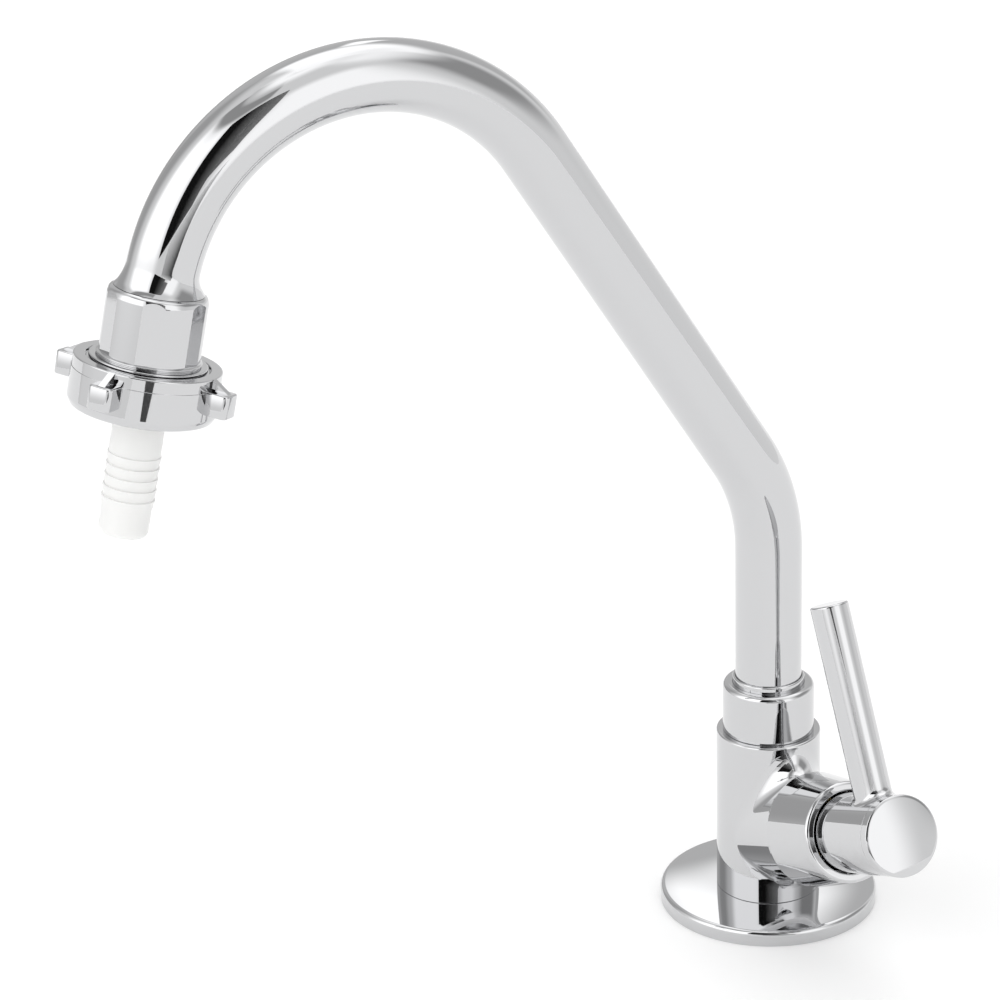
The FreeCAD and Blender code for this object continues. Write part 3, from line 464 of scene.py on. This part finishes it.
def chrome_material(name, colour, roughness):
    """Polished plate: the roughness drifts over the surface."""
    _, tree, shader = new_material(name, metallic=1, roughness=roughness)
    shader.inputs["Base Color"].default_value = (*colour, 1)
    drift = 0.4
    cloud = noise_of(tree, scale=60)
    cloud.inputs["Detail"].default_value = 3
    spread = tree.nodes.new("ShaderNodeMapRange")
    spread.inputs["To Min"].default_value = roughness * (1 - drift)
    spread.inputs["To Max"].default_value = roughness * (1 + drift)
    tree.links.new(cloud.outputs["Fac"], spread.inputs["Value"])
    tree.links.new(spread.outputs["Result"], shader.inputs["Roughness"])


def plain_material(name, colour, roughness, metallic=0.0, depth=0.02):
    """A moulded or machined surface with a fine grain, which changes the colour by the depth."""
    material, tree, shader = new_material(name, metallic, roughness)
    grit = noise_of(tree, scale=400)
    ramp = tree.nodes.new("ShaderNodeValToRGB")
    ramp.color_ramp.elements[0].color = (*[part * (1 - depth) for part in colour], 1)
    ramp.color_ramp.elements[1].color = (*[min(part * (1 + depth), 1) for part in colour], 1)
    tree.links.new(grit.outputs["Fac"], ramp.inputs["Fac"])
    tree.links.new(ramp.outputs["Color"], shader.inputs["Base Color"])
    return material


class FAUCET_OT_finishes(bpy.types.Operator):
    """Make the materials and put them on the inner pieces"""

    bl_idname = "faucet.finishes"
    bl_label = "Finishes"

    def execute(self, context):
        finish = context.scene.faucet_finish
        chrome_material("polished_chrome", finish.chrome, finish.chrome_roughness)
        plain_material("turned_brass", finish.brass, roughness=0.25, metallic=1.0)
        plain_material("black_rubber", finish.rubber, roughness=0.7)
        nylon = plain_material("moulded_nylon", finish.nylon, roughness=0.35, depth=0.01)
        shader = nylon.node_tree.nodes["Principled BSDF"]
        shader.inputs["Subsurface Weight"].default_value = 0.5
        shader.inputs["Subsurface Radius"].default_value = (1, 1, 1)
        shader.inputs["Subsurface Scale"].default_value = 2 * mm
        plain_material("moulded_bush", finish.bush, roughness=0.2)
        plain_material("fired_ceramic", finish.ceramic, roughness=0.3)
        plain_material("bright_steel", finish.steel, roughness=0.3, metallic=1.0)
        for part in frame["record"]["subparts"]:
            mesh = frame["nodes"][part["node"]].data
            mesh.materials.clear()
            mesh.materials.append(bpy.data.materials[FINISHES[part["material_slot"]]])
        return {"FINISHED"}


class FAUCET_OT_base(bpy.types.Operator):
    """Make the deck flange, the spout collar and the ring round the tube"""

    bl_idname = "faucet.base"
    bl_label = "Base, collar and ring"

    def execute(self, context):
        base = context.scene.faucet_base
        spout = context.scene.faucet_spout
        self.flange(base)
        self.collar(base)
        self.ring(base, spout)
        return {"FINISHED"}

    def flange(self, base):
        """A disc with a groove for the gasket below and a top that falls a little to the rim."""
        hole = 13.05 * mm
        groove_inner, groove_outer, groove_depth = 24.7 * mm, 29.3 * mm, 1.6 * mm
        crown = []
        crown_steps = 8
        for number in range(crown_steps + 1):
            share = 1 - number / crown_steps
            radius = base.body_radius + (base.flange_radius - base.body_radius) * share
            crown.append(Vector((radius, base.flange_thickness - base.flange_fall * share ** 2)))
        flange = rounded([
            (hole, 0),
            (groove_inner, 0),
            (groove_inner, groove_depth),
            (groove_outer, groove_depth),
            (groove_outer, 0),
            (base.flange_radius, 0, 0.2 * mm),
            (*crown[0], base.flange_rounding),
            crown[1][:],
        ])
        flange += crown[2:] + [Vector((hole, base.flange_thickness))]
        piece("deck_flange", lathe(flange, Matrix()), "base", "chromed_brass", "base_flange")

    def collar(self, base):
        """A round nut, threaded into the body, with a recess that holds the ring."""
        bore = 9.86 * mm
        foot = 52 * mm
        recess = base.bush_radius + 0.02 * mm
        collar = rounded([
            (bore, foot),
            (base.socket_radius - 0.1 * mm, foot),
            (base.socket_radius - 0.1 * mm, base.body_top),
            (base.collar_radius, base.body_top + 0.05 * mm, 0.25 * mm),
            (base.collar_radius, base.collar_top, base.collar_rounding),
            (recess, base.collar_top - 0.1 * mm, 0.15 * mm),
            (recess, base.ring_foot),
            (bore, base.ring_foot),
        ])
        piece("collar", lathe(collar, Matrix()), "base", "chromed_brass", "spout_collar")

    def ring(self, base, spout):
        """A bush that stands in the collar's recess and guides the tube."""
        inner = spout.tube_radius + 0.06 * mm
        ring = rounded([
            (inner, base.ring_foot),
            (base.bush_radius, base.ring_foot),
            (base.bush_radius, base.bush_top, 0.5 * mm),
            (inner, base.bush_top, 0.15 * mm),
        ])
        piece("tube_ring", lathe(ring, Matrix()), "base", "chromed_brass", "spout_bush")


class FAUCET_OT_body(bpy.types.Operator):
    """Make the upright body and its side branch"""

    bl_idname = "faucet.body"
    bl_label = "Valve body"

    def execute(self, context):
        base = context.scene.faucet_base
        handle = context.scene.faucet_handle
        inlet = 9.3 * mm
        spigot = 13 * mm
        socket_floor = 50 * mm
        upright = rounded([
            (inlet, 0),
            (spigot, 0),
            (spigot, base.flange_thickness),
            (base.body_radius, base.flange_thickness + 0.03 * mm, 0.2 * mm),
            (base.body_radius, base.body_top, 0.6 * mm),
            (base.socket_radius, base.body_top),
            (base.socket_radius, socket_floor),
            (inlet, socket_floor),
        ])
        bm = lathe(upright, Matrix())
        place = handle_place(base)
        flare = (base.flare_radius - base.neck_radius) / (1 - math.cos(base.flare_turn))
        rim = 0.76 * mm
        flare_end = handle.branch_face - rim
        bore, bore_floor = 10.5 * mm, 20 * mm
        profile = [
            (bore, bore_floor),
            (bore, handle.branch_face),
            (base.flare_radius, handle.branch_face),
            (base.flare_radius, flare_end),
        ]
        flare_steps = 8
        for number in range(flare_steps, -1, -1):
            turn = base.flare_turn * number / flare_steps
            radius = base.neck_radius + flare * (1 - math.cos(turn))
            profile.append((radius, flare_end + flare * (math.sin(turn) - math.sin(base.flare_turn))))
        rod_on_hub(bm, place, profile, base.blend_radius, Vector((0, 0, 0)), UP, base.body_radius)
        bmesh.ops.recalc_face_normals(bm, faces=bm.faces)
        piece("body_shell", bm, "base", "chromed_brass", "valve_body")
        return {"FINISHED"}


class FAUCET_OT_tube(bpy.types.Operator):
    """Sweep the gooseneck tube and open its bell"""

    bl_idname = "faucet.tube"
    bl_label = "Spout tube"

    def execute(self, context):
        spout = context.scene.faucet_spout
        runs, bells = spout_stations(spout)
        inner_radius = spout.tube_radius - spout.tube_wall
        rings = [(*station, spout.tube_radius) for station in runs]
        rings += self.bell(spout, bells, spout.bell_radius)
        rings += reversed(self.bell(spout, bells, spout.bell_radius + spout.tube_wall))
        rings += [(*station, inner_radius) for station in reversed(runs)]
        piece("gooseneck", self.sweep(rings), "spout", "chromed_brass", "spout_tube")
        return {"FINISHED"}

    def bell(self, spout, bells, flare):
        """Rings of one skin of the bell, which opens along an arc of the flare's radius."""
        centre = spout.tube_radius + spout.bell_radius
        rings = []
        for reach, height, turn, station in bells:
            depth = station + spout.bell_depth
            rings.append((reach, height, turn, centre - math.sqrt(flare ** 2 - depth ** 2)))
        return rings

    def sweep(self, rings):
        """Joins rings of (reach, height, turn, radius), outside and back inside, into a closed skin."""
        places = []
        for reach, height, turn, radius in rings:
            place = Matrix.Translation((0, -reach, height)) @ Matrix.Rotation(turn, 4, "X")
            places.append(place @ Matrix.Scale(radius, 4))
        bm = bmesh.new()
        start = bmesh.ops.create_circle(bm, segments=96, radius=1, matrix=places[0])
        edges = list({edge for vert in start["verts"] for edge in vert.link_edges})
        unit = {vert: places[0].inverted() @ vert.co for vert in start["verts"]}
        for place in places[1:]:
            made = bmesh.ops.extrude_edge_only(bm, edges=edges)["geom"]
            verts = [item for item in made if isinstance(item, bmesh.types.BMVert)]
            edges = [item for item in made if isinstance(item, bmesh.types.BMEdge)]
            edges = [edge for edge in edges if edge.is_boundary]
            behind = {}
            for vert in verts:
                for edge in vert.link_edges:
                    other = edge.other_vert(vert)
                    if other in unit:
                        behind[vert] = unit[other]
            for vert in verts:
                vert.co = place @ behind[vert]
            unit = behind
        bmesh.ops.bridge_loops(bm, edges=[edge for edge in bm.edges if edge.is_boundary])
        bmesh.ops.recalc_face_normals(bm, faces=bm.faces)
        return bm


class FAUCET_OT_outlet(bpy.types.Operator):
    """Make the outlet adapter with its wrench flats, the wing nut and the hose tail"""

    bl_idname = "faucet.outlet"
    bl_label = "Outlet"

    def execute(self, context):
        spout = context.scene.faucet_spout
        outlet = context.scene.faucet_outlet
        place = outlet_place(spout)
        self.adapter(spout, outlet, place)
        self.nut(outlet, place)
        self.tail(outlet, place)
        return {"FINISHED"}

    def adapter(self, spout, outlet, place):
        """A turned piece whose nose fills the tube's bell, with six wrench flats and a thread."""
        room = 0.12 * mm
        centre = spout.tube_radius + spout.bell_radius
        nose = spout.bell_radius + spout.tube_wall + room
        face = spout.bell_radius * math.sin(spout.bell_angle) - spout.bell_depth + room
        bore = 8 * mm
        profile = [Vector((bore, -2.3 * mm))]
        first = math.radians(14)
        last = math.asin((face + spout.bell_depth) / nose)
        nose_steps = 8
        for number in range(nose_steps + 1):
            turn = first + (last - first) * number / nose_steps
            distance = nose * math.sin(turn) - spout.bell_depth
            profile.append(Vector((centre - nose * math.cos(turn), distance)))
        radius = outlet.adapter_radius
        lip, lip_start, lip_end = 13.6 * mm, 18.6 * mm, 19.0 * mm
        groove = 13.1 * mm
        ledge, ledge_start = 15.3 * mm, 19.4 * mm
        thread, thread_start, thread_end = 15.83 * mm, 20.6 * mm, 27.4 * mm
        profile += rounded([
            (10.6 * mm, face),
            (11.72 * mm, face, 0.12 * mm),
            (12.6 * mm, face + 0.45 * mm, 1.3 * mm),
            (radius, 3.0 * mm, 1.5 * mm),
            (radius, outlet.flat_end),
            (lip, lip_start, 0.15 * mm),
            (lip, lip_end, 0.15 * mm),
            (groove, lip_end, 0.1 * mm),
            (groove, ledge_start, 0.1 * mm),
            (ledge, ledge_start, 0.3 * mm),
            (ledge, thread_start),
            (thread, thread_start, 0.2 * mm),
            (thread, thread_end),
            (bore, thread_end),
        ])[1:]
        bm = lathe(profile, Matrix())
        for number in range(6):
            self.flat(bm, outlet, outlet.flat_angle + math.radians(60) * number)
        bmesh.ops.transform(bm, matrix=place, verts=bm.verts)
        bmesh.ops.recalc_face_normals(bm, faces=bm.faces)
        piece("outlet_fitting", bm, "spout", "chromed_brass", "outlet_adapter", sharp=11)

    def flat(self, bm, outlet, turn):
        """One wrench flat: edges are cut along its plane, and what stands proud is pressed onto it."""
        way = Vector((math.cos(turn), math.sin(turn), 0))
        outside_from = 11 * mm
        near = []
        for face in bm.faces:
            middle = face.calc_center_median()
            if middle.z < outlet.flat_end and middle.dot(way) > outside_from:
                near.append(face)
        geometry = near + list({edge for face in near for edge in face.edges})
        geometry += list({vert for face in near for vert in face.verts})
        bmesh.ops.bisect_plane(
            bm, geom=geometry, plane_co=way * outlet.half_flats, plane_no=way, dist=1e-7
        )
        for vert in bm.verts:
            over = vert.co.dot(way) - outlet.half_flats
            if over > 0 and -1 * mm < vert.co.z < outlet.flat_end + 0.01 * mm:
                vert.co -= way * over

    def nut(self, outlet, place):
        """A threaded cup with a hole for the hose tail and four wings."""
        top = outlet.nut_top
        bottom = outlet.nut_bottom
        upper = outlet.nut_radius - 0.15 * mm
        step = 23.2 * mm
        thread = 15.93 * mm
        mouth, mouth_floor = 16.13 * mm, top + 1 * mm
        hole = 7.3 * mm
        floor = 31 * mm
        profile = rounded([
            (mouth, top, 0.15 * mm),
            (upper, top, 0.35 * mm),
            (upper, step, 0.06 * mm),
            (outlet.nut_radius, step, 0.06 * mm),
            (outlet.nut_radius, 31.2 * mm, 1.7 * mm),
            (18.4 * mm, 32.95 * mm, 1.2 * mm),
            (16.9 * mm, bottom, 0.4 * mm),
            (hole, bottom, 0.3 * mm),
            (hole, floor),
            (thread, floor),
            (thread, mouth_floor),
            (mouth, mouth_floor),
        ])
        bm = lathe(profile, Matrix())
        for number in range(4):
            turn = Matrix.Rotation(outlet.wing_angle + math.pi / 2 * number, 4, "Z")
            self.wing(bm, outlet, turn)
        bmesh.ops.transform(bm, matrix=place, verts=bm.verts)
        bmesh.ops.recalc_face_normals(bm, faces=bm.faces)
        piece("winged_nut", bm, "nut", "chromed_brass", "wing_nut")

    def wing(self, bm, outlet, turn):
        """One wing: a block with rounded corners, and a thin web above it."""
        root = 18.2 * mm
        reach = outlet.wing_reach
        top, bottom = outlet.wing_top, outlet.wing_bottom
        middle = Vector(((root + reach) / 2, 0, (top + bottom) / 2))
        scale = Matrix.Diagonal((reach - root, outlet.wing_width, bottom - top, 1))
        before = set(bm.verts)
        block = bmesh.ops.create_cube(bm, size=1, matrix=Matrix.Translation(middle) @ scale)
        edges = list({edge for vert in block["verts"] for edge in vert.link_edges})
        outer = [edge for edge in edges if all(vert.co.x > reach - 0.01 * mm for vert in edge.verts)]
        upright = [edge for edge in outer if abs(edge.verts[0].co.z - edge.verts[1].co.z) > 1 * mm]
        self.bevel(bm, upright, offset=1.4 * mm, segments=6)
        made = [vert for vert in bm.verts if vert not in before]
        edges = list({edge for vert in made for edge in vert.link_edges})
        rims = [edge for edge in edges if edge.is_manifold and edge.calc_face_angle() > math.radians(50)]
        self.bevel(bm, rims, offset=0.45 * mm, segments=3)
        half_web = 0.9 * mm
        web_top, web_foot = 20 * mm, top + 0.3 * mm
        points = [(root, web_top), (19.1 * mm, web_top), (24.3 * mm, web_foot), (root, web_foot)]
        side = bm.faces.new([bm.verts.new((x, -half_web, z)) for x, z in points])
        web = bmesh.ops.extrude_face_region(bm, geom=[side])["geom"]
        moved = [item for item in web if isinstance(item, bmesh.types.BMVert)]
        bmesh.ops.translate(bm, vec=(0, 2 * half_web, 0), verts=moved)
        made = [vert for vert in bm.verts if vert not in before]
        bmesh.ops.transform(bm, matrix=turn, verts=made)

    def bevel(self, bm, edges, offset, segments):
        """Rounds edges."""
        bmesh.ops.bevel(
            bm, geom=edges, offset=offset, segments=segments, affect="EDGES", profile=0.5, material=-1,
            clamp_overlap=True
        )

    def tail(self, outlet, place):
        """A tube with a flange that the nut holds, five ridges for the hose and a rounded end."""
        neck = outlet.tail_radius
        ridge = outlet.ridge_radius
        bore = 4.5 * mm
        rim, rim_top, rim_bottom = 15.2 * mm, 29 * mm, 31 * mm
        ridges = 5
        first_ridge = 44.5 * mm
        pitch = 2.9 * mm
        end = outlet.tail_end
        corners = [
            (bore, rim_top),
            (rim, rim_top),
            (rim, rim_bottom),
            (neck, rim_bottom),
            (neck - 0.05 * mm, first_ridge, 0.1 * mm),
        ]
        for number in range(ridges):
            corners.append((ridge, first_ridge + pitch * number + 0.02 * mm, 0.12 * mm))
            corners.append((ridge - 0.45 * mm, first_ridge + pitch * (number + 1), 0.1 * mm))
        corners[-1] = (6.5 * mm, first_ridge + pitch * ridges, 1.0 * mm)
        corners += [(6.45 * mm, end, 1.6 * mm), (bore, end, 0.25 * mm)]
        piece("ribbed_tail", lathe(rounded(corners), place, 128), "tail", "white_nylon", "hose_barb")


class FAUCET_OT_handle(bpy.types.Operator):
    """Make the shroud, the lever with its hub, and the hub cap"""

    bl_idname = "faucet.handle"
    bl_label = "Shroud, lever and cap"

    def execute(self, context):
        handle = context.scene.faucet_handle
        place = handle_place(context.scene.faucet_base)
        self.shroud(handle, place)
        self.lever(handle, place)
        self.cap(handle, place)
        return {"FINISHED"}

    def shroud(self, handle, place):
        """A cup that narrows from the side branch to its rim, with an opening for the hub."""
        hole = 10.6 * mm
        back = handle.branch_face
        back_wall = 1.5 * mm
        lip = 1.3 * mm
        shroud = rounded([
            (hole, back),
            (handle.shroud_back, back + 0.02 * mm, 0.3 * mm),
            (handle.shroud_rim, handle.shroud_face, 1.1 * mm),
            (handle.shroud_mouth, handle.shroud_face, 0.5 * mm),
            (handle.shroud_mouth, handle.shroud_face - lip),
            (12.4 * mm, handle.shroud_face - lip),
            (14.5 * mm, back + back_wall),
            (hole, back + back_wall),
        ])
        piece("headwork_cover", lathe(shroud, place), "base", "chromed_brass", "handle_shroud")

    def lever(self, handle, place):
        """The hub, bored for the cap, the screw and the spindle, and the rod that grows out of it."""
        hub = handle.hub_radius
        front = handle.hub_front
        cap_bore, cap_floor = 8.6 * mm, 67 * mm
        screw_bore, screw_end = 2.2 * mm, 63 * mm
        spindle_bore, spindle_end = 4.05 * mm, 52 * mm
        back_bore = 8.5 * mm
        profile = rounded([
            (back_bore, handle.hub_back),
            (hub, handle.hub_back, 0.3 * mm),
            (hub, front, 0.15 * mm),
            (cap_bore, front),
            (cap_bore, cap_floor),
            (screw_bore, cap_floor),
            (screw_bore, screw_end),
            (spindle_bore, screw_end),
            (spindle_bore, spindle_end),
            (back_bore, spindle_end),
        ])
        bm = lathe(profile, place)
        upright = Matrix.Rotation(handle.rod_lean, 4, "Z") @ Matrix.Rotation(-math.pi / 2, 4, "Y")
        rod_place = place @ Matrix.Translation((0, 0, handle.rod_distance)) @ upright
        tip = handle.rod_length
        radius = handle.rod_radius
        rod = rounded([(0, tip), (radius, tip, 0.6 * mm), (radius, tip - 20 * mm)])
        rod.insert(1, Vector((radius / 2, tip)))
        rod += [Vector((radius, 30 * mm)), Vector((radius, 15 * mm))]
        way = (place.to_3x3() @ UP).normalized()
        rod_on_hub(bm, rod_place, rod, handle.rod_blend, place.translation, way, hub, steps=96)
        bmesh.ops.recalc_face_normals(bm, faces=bm.faces)
        piece("lever", bm, "handle", "chromed_brass", "lever_handle")

    def cap(self, handle, place):
        """A button that plugs the hub. Its face is a shallow dome."""
        hub = handle.hub_radius
        seat = handle.hub_front + 0.12 * mm
        plug, plug_end = 8.5 * mm, 70.1 * mm
        rim = hub - 0.45 * mm
        rim_at = seat + 3.03 * mm
        rise = handle.cap_rise
        sphere = (rim ** 2 + rise ** 2) / (2 * rise)
        dome = []
        dome_steps = 24
        for number in range(dome_steps + 1):
            radius = rim * (1 - number / dome_steps)
            drop = sphere - math.sqrt(sphere ** 2 - radius ** 2)
            dome.append((radius, rim_at + rise - drop))
        cap = rounded([
            (0, plug_end),
            (plug, plug_end),
            (plug, seat),
            (hub, seat, 0.12 * mm),
            (hub, rim_at - 0.35 * mm, 0.3 * mm),
            dome[0],
        ])
        piece("cap", lathe(cap + dome[1:], place, closed=False), "handle", "chromed_brass", "hub_cap")


def feed(tree, socket, value):
    """Gives a socket a plain number, or links another socket to it."""
    if isinstance(value, (int, float)):
        socket.default_value = value
    else:
        tree.links.new(value, socket)


def math_of(tree, operation, *values):
    """A Math node over sockets or plain numbers, angles in radians."""
    node = tree.nodes.new("ShaderNodeMath")
    node.operation = operation
    for socket, value in zip(node.inputs, values):
        feed(tree, socket, value)
    return node.outputs["Value"]


def mix_of(tree, factor, first, second):
    """A blend from one level to another."""
    node = tree.nodes.new("ShaderNodeMix")
    tree.links.new(factor, node.inputs["Factor"])
    feed(tree, node.inputs["A"], first)
    feed(tree, node.inputs["B"], second)
    return node.outputs["Result"]


def camera_axes(tree, output):
    """A texture coordinate's X towards the camera's side, Y to its right and Z up."""
    place = tree.nodes.new("ShaderNodeTexCoord")
    turned = tree.nodes.new("ShaderNodeVectorRotate")
    turned.rotation_type = "Z_AXIS"
    turned.inputs["Angle"].default_value = CAMERA_TURN
    split = tree.nodes.new("ShaderNodeSeparateXYZ")
    tree.links.new(place.outputs[output], turned.inputs["Vector"])
    tree.links.new(turned.outputs["Vector"], split.inputs["Vector"])
    return split.outputs


def edge_of(tree, value, degrees, soft):
    """A soft step up (or down, where soft is negative) at an angle in degrees."""
    node = tree.nodes.new("ShaderNodeMapRange")
    node.interpolation_type = "SMOOTHSTEP"
    tree.links.new(value, node.inputs["Value"])
    node.inputs["From Min"].default_value = math.radians(degrees - abs(soft))
    node.inputs["From Max"].default_value = math.radians(degrees + abs(soft))
    node.inputs["To Min"].default_value = 0 if soft > 0 else 1
    node.inputs["To Max"].default_value = 1 if soft > 0 else 0
    return node.outputs["Result"]


class FAUCET_OT_stage(bpy.types.Operator):
    """Make the floor, the light tent, the camera and the dark cards of painted shade behind it"""

    bl_idname = "faucet.stage"
    bl_label = "Studio and camera"

    def execute(self, context):
        scene = context.scene
        studio = scene.faucet_studio
        self.tent(scene, studio)
        self.floor()
        # Dark cards paint the unlit room's shade, darker to one side, into the chrome's reflections.
        self.cards("high_cards", HIGH_SHADE_CARDS, axis="Y", fade=(-0.1, 0.4), shade_tones=(0.01, 0.3))
        self.cards("low_cards", LOW_SHADE_CARDS, axis="Z", fade=(0.04, 0.27), shade_tones=(0.1, 0.9))
        self.camera(scene, studio)
        scene.view_settings.view_transform = "Standard"
        return {"FINISHED"}

    def tent(self, scene, studio):
        """Soft light from all round, brighter where a soft box hangs. The tent itself looks plain white."""
        world = bpy.data.worlds.new("light_tent")
        scene.world = world
        world.use_nodes = True
        tree = world.node_tree
        shader = tree.nodes["Background"]
        shader.inputs["Color"].default_value = (1, 1, 1, 1)
        axes = camera_axes(tree, "Generated")
        azimuth = math_of(tree, "ARCTAN2", axes["Y"], axes["X"])
        height = math_of(tree, "ARCSINE", axes["Z"])
        level = studio.light
        for side, half, low, high, soft, bright in SOFT_LIGHTS:
            away = math_of(tree, "SUBTRACT", azimuth, math.radians(side))
            away = math_of(tree, "WRAP", away, -math.pi, math.pi)
            away = math_of(tree, "ABSOLUTE", away)
            across = edge_of(tree, away, half, -soft)
            above = edge_of(tree, height, low, soft)
            below = edge_of(tree, height, high, -soft)
            patch = math_of(tree, "MULTIPLY", math_of(tree, "MULTIPLY", across, above), below)
            level = mix_of(tree, patch, level, bright)
        path = tree.nodes.new("ShaderNodeLightPath")
        level = mix_of(tree, path.outputs["Is Camera Ray"], level, 1.0)
        tree.links.new(level, shader.inputs["Strength"])

    def floor(self):
        """A white sheet that glows a little, so that its shadows stay faint."""
        half = 1.5
        bm = bmesh.new()
        bmesh.ops.create_grid(bm, x_segments=1, y_segments=1, size=half)
        floor = self.stage_piece("floor", bm, (0.95, 0.95, 0.95))
        shader = floor.data.materials[0].node_tree.nodes["Principled BSDF"]
        shader.inputs["Emission Color"].default_value = (1, 1, 1, 1)
        shader.inputs["Emission Strength"].default_value = 0.08

    def cards(self, name, spans, axis, fade, shade_tones):
        """Dark cards of painted shade for the unlit room behind the camera, which chrome shows as dark
        bands.

        Their tone, a painted shade gradient, goes from the first to the second along the stretch of the axis
        that fade names.
        """
        stand = Matrix.Rotation(-CAMERA_TURN, 4, "Z") @ Matrix.Translation((CARD_DISTANCE, 0, 0))
        stand = stand @ Matrix.Rotation(math.pi / 2, 4, "Y") @ Matrix.Rotation(math.pi / 2, 4, "Z")
        bm = bmesh.new()
        for left, right, low, high in spans:
            middle = Matrix.Translation(((left + right) / 2, (low + high) / 2, 0))
            size = Matrix.Diagonal((right - left, high - low, 1, 1))
            bmesh.ops.create_grid(bm, x_segments=1, y_segments=1, size=0.5, matrix=stand @ middle @ size)
        card = self.stage_piece(name, bm, (0.02, 0.02, 0.02))
        # Hidden from the camera, diffuse light and shadows, the cards are painted shade seen only in
        # reflections.
        card.visible_camera = False
        card.visible_diffuse = False
        card.visible_shadow = False
        # The ramp paints a shade gradient across the cards, from their darkest to their lightest tone.
        tree = card.data.materials[0].node_tree
        spread = tree.nodes.new("ShaderNodeMapRange")
        spread.inputs["From Min"].default_value, spread.inputs["From Max"].default_value = fade
        spread.inputs["To Min"].default_value, spread.inputs["To Max"].default_value = shade_tones
        tree.links.new(camera_axes(tree, "Object")[axis], spread.inputs["Value"])
        tree.links.new(spread.outputs["Result"], tree.nodes["Principled BSDF"].inputs["Base Color"])

    def stage_piece(self, name, bm, colour):
        """A dull object of the studio, which isn't part of the faucet."""
        made = object_of(name, bm)
        material, _, shader = new_material(name, metallic=0, roughness=0.9)
        shader.inputs["Base Color"].default_value = (*colour, 1)
        shader.inputs["Specular IOR Level"].default_value = 0
        made.data.materials.append(material)
        return made

    def camera(self, scene, studio):
        """The camera that took the picture: it looks from its place along the azimuth and down."""
        data = bpy.data.cameras.new("camera")
        camera = bpy.data.objects.new("camera", data)
        scene.collection.objects.link(camera)
        scene.camera = camera
        data.sensor_width = 36
        data.lens = studio.lens
        data.clip_start = 0.01
        turn = studio.azimuth
        fall = studio.elevation
        ahead = Vector((-math.sin(turn) * math.cos(fall), math.cos(turn) * math.cos(fall), -math.sin(fall)))
        level = Vector((math.cos(turn), math.sin(turn), 0))
        above = level.cross(ahead)
        cosine, sine = math.cos(studio.roll), math.sin(studio.roll)
        right = level * cosine + above * sine
        up = above * cosine - level * sine
        place = Matrix((right, up, -ahead)).transposed().to_4x4()
        place.translation = CAMERA_PLACE
        camera.matrix_world = place


class FAUCET_PT_panel(bpy.types.Panel):
    """The faucet's steps and sizes"""

    bl_idname = "FAUCET_PT_panel"
    bl_label = "Faucet"
    bl_space_type = "VIEW_3D"
    bl_region_type = "UI"
    bl_category = "Faucet"

    def draw(self, context):
        layout = self.layout
        for step in STEPS:
            layout.operator(step.bl_idname)
        for group, _ in GROUPS:
            box = layout.box()
            settings = getattr(context.scene, group)
            for name in settings.__annotations__:
                box.prop(settings, name)


GROUPS = [
    ("faucet_spout", FaucetSpout),
    ("faucet_base", FaucetBase),
    ("faucet_outlet", FaucetOutlet),
    ("faucet_handle", FaucetHandle),
    ("faucet_finish", FaucetFinish),
    ("faucet_studio", FaucetStudio),
]
STEPS = [
    FAUCET_OT_finishes,
    FAUCET_OT_base,
    FAUCET_OT_body,
    FAUCET_OT_tube,
    FAUCET_OT_outlet,
    FAUCET_OT_handle,
    FAUCET_OT_stage,
]


def register():
    for group, kind in GROUPS:
        bpy.utils.register_class(kind)
        setattr(bpy.types.Scene, group, bpy.props.PointerProperty(type=kind))
    for step in STEPS:
        bpy.utils.register_class(step)
    bpy.utils.register_class(FAUCET_PT_panel)


def unregister():
    bpy.utils.unregister_class(FAUCET_PT_panel)
    for step in reversed(STEPS):
        bpy.utils.unregister_class(step)
    for group, kind in reversed(GROUPS):
        delattr(bpy.types.Scene, group)
        bpy.utils.unregister_class(kind)


def main():
    register()
    bpy.ops.faucet.finishes()
    bpy.ops.faucet.base()
    bpy.ops.faucet.body()
    bpy.ops.faucet.tube()
    bpy.ops.faucet.outlet()
    bpy.ops.faucet.handle()
    bpy.ops.faucet.stage()


if __name__ == "__main__":
    main()
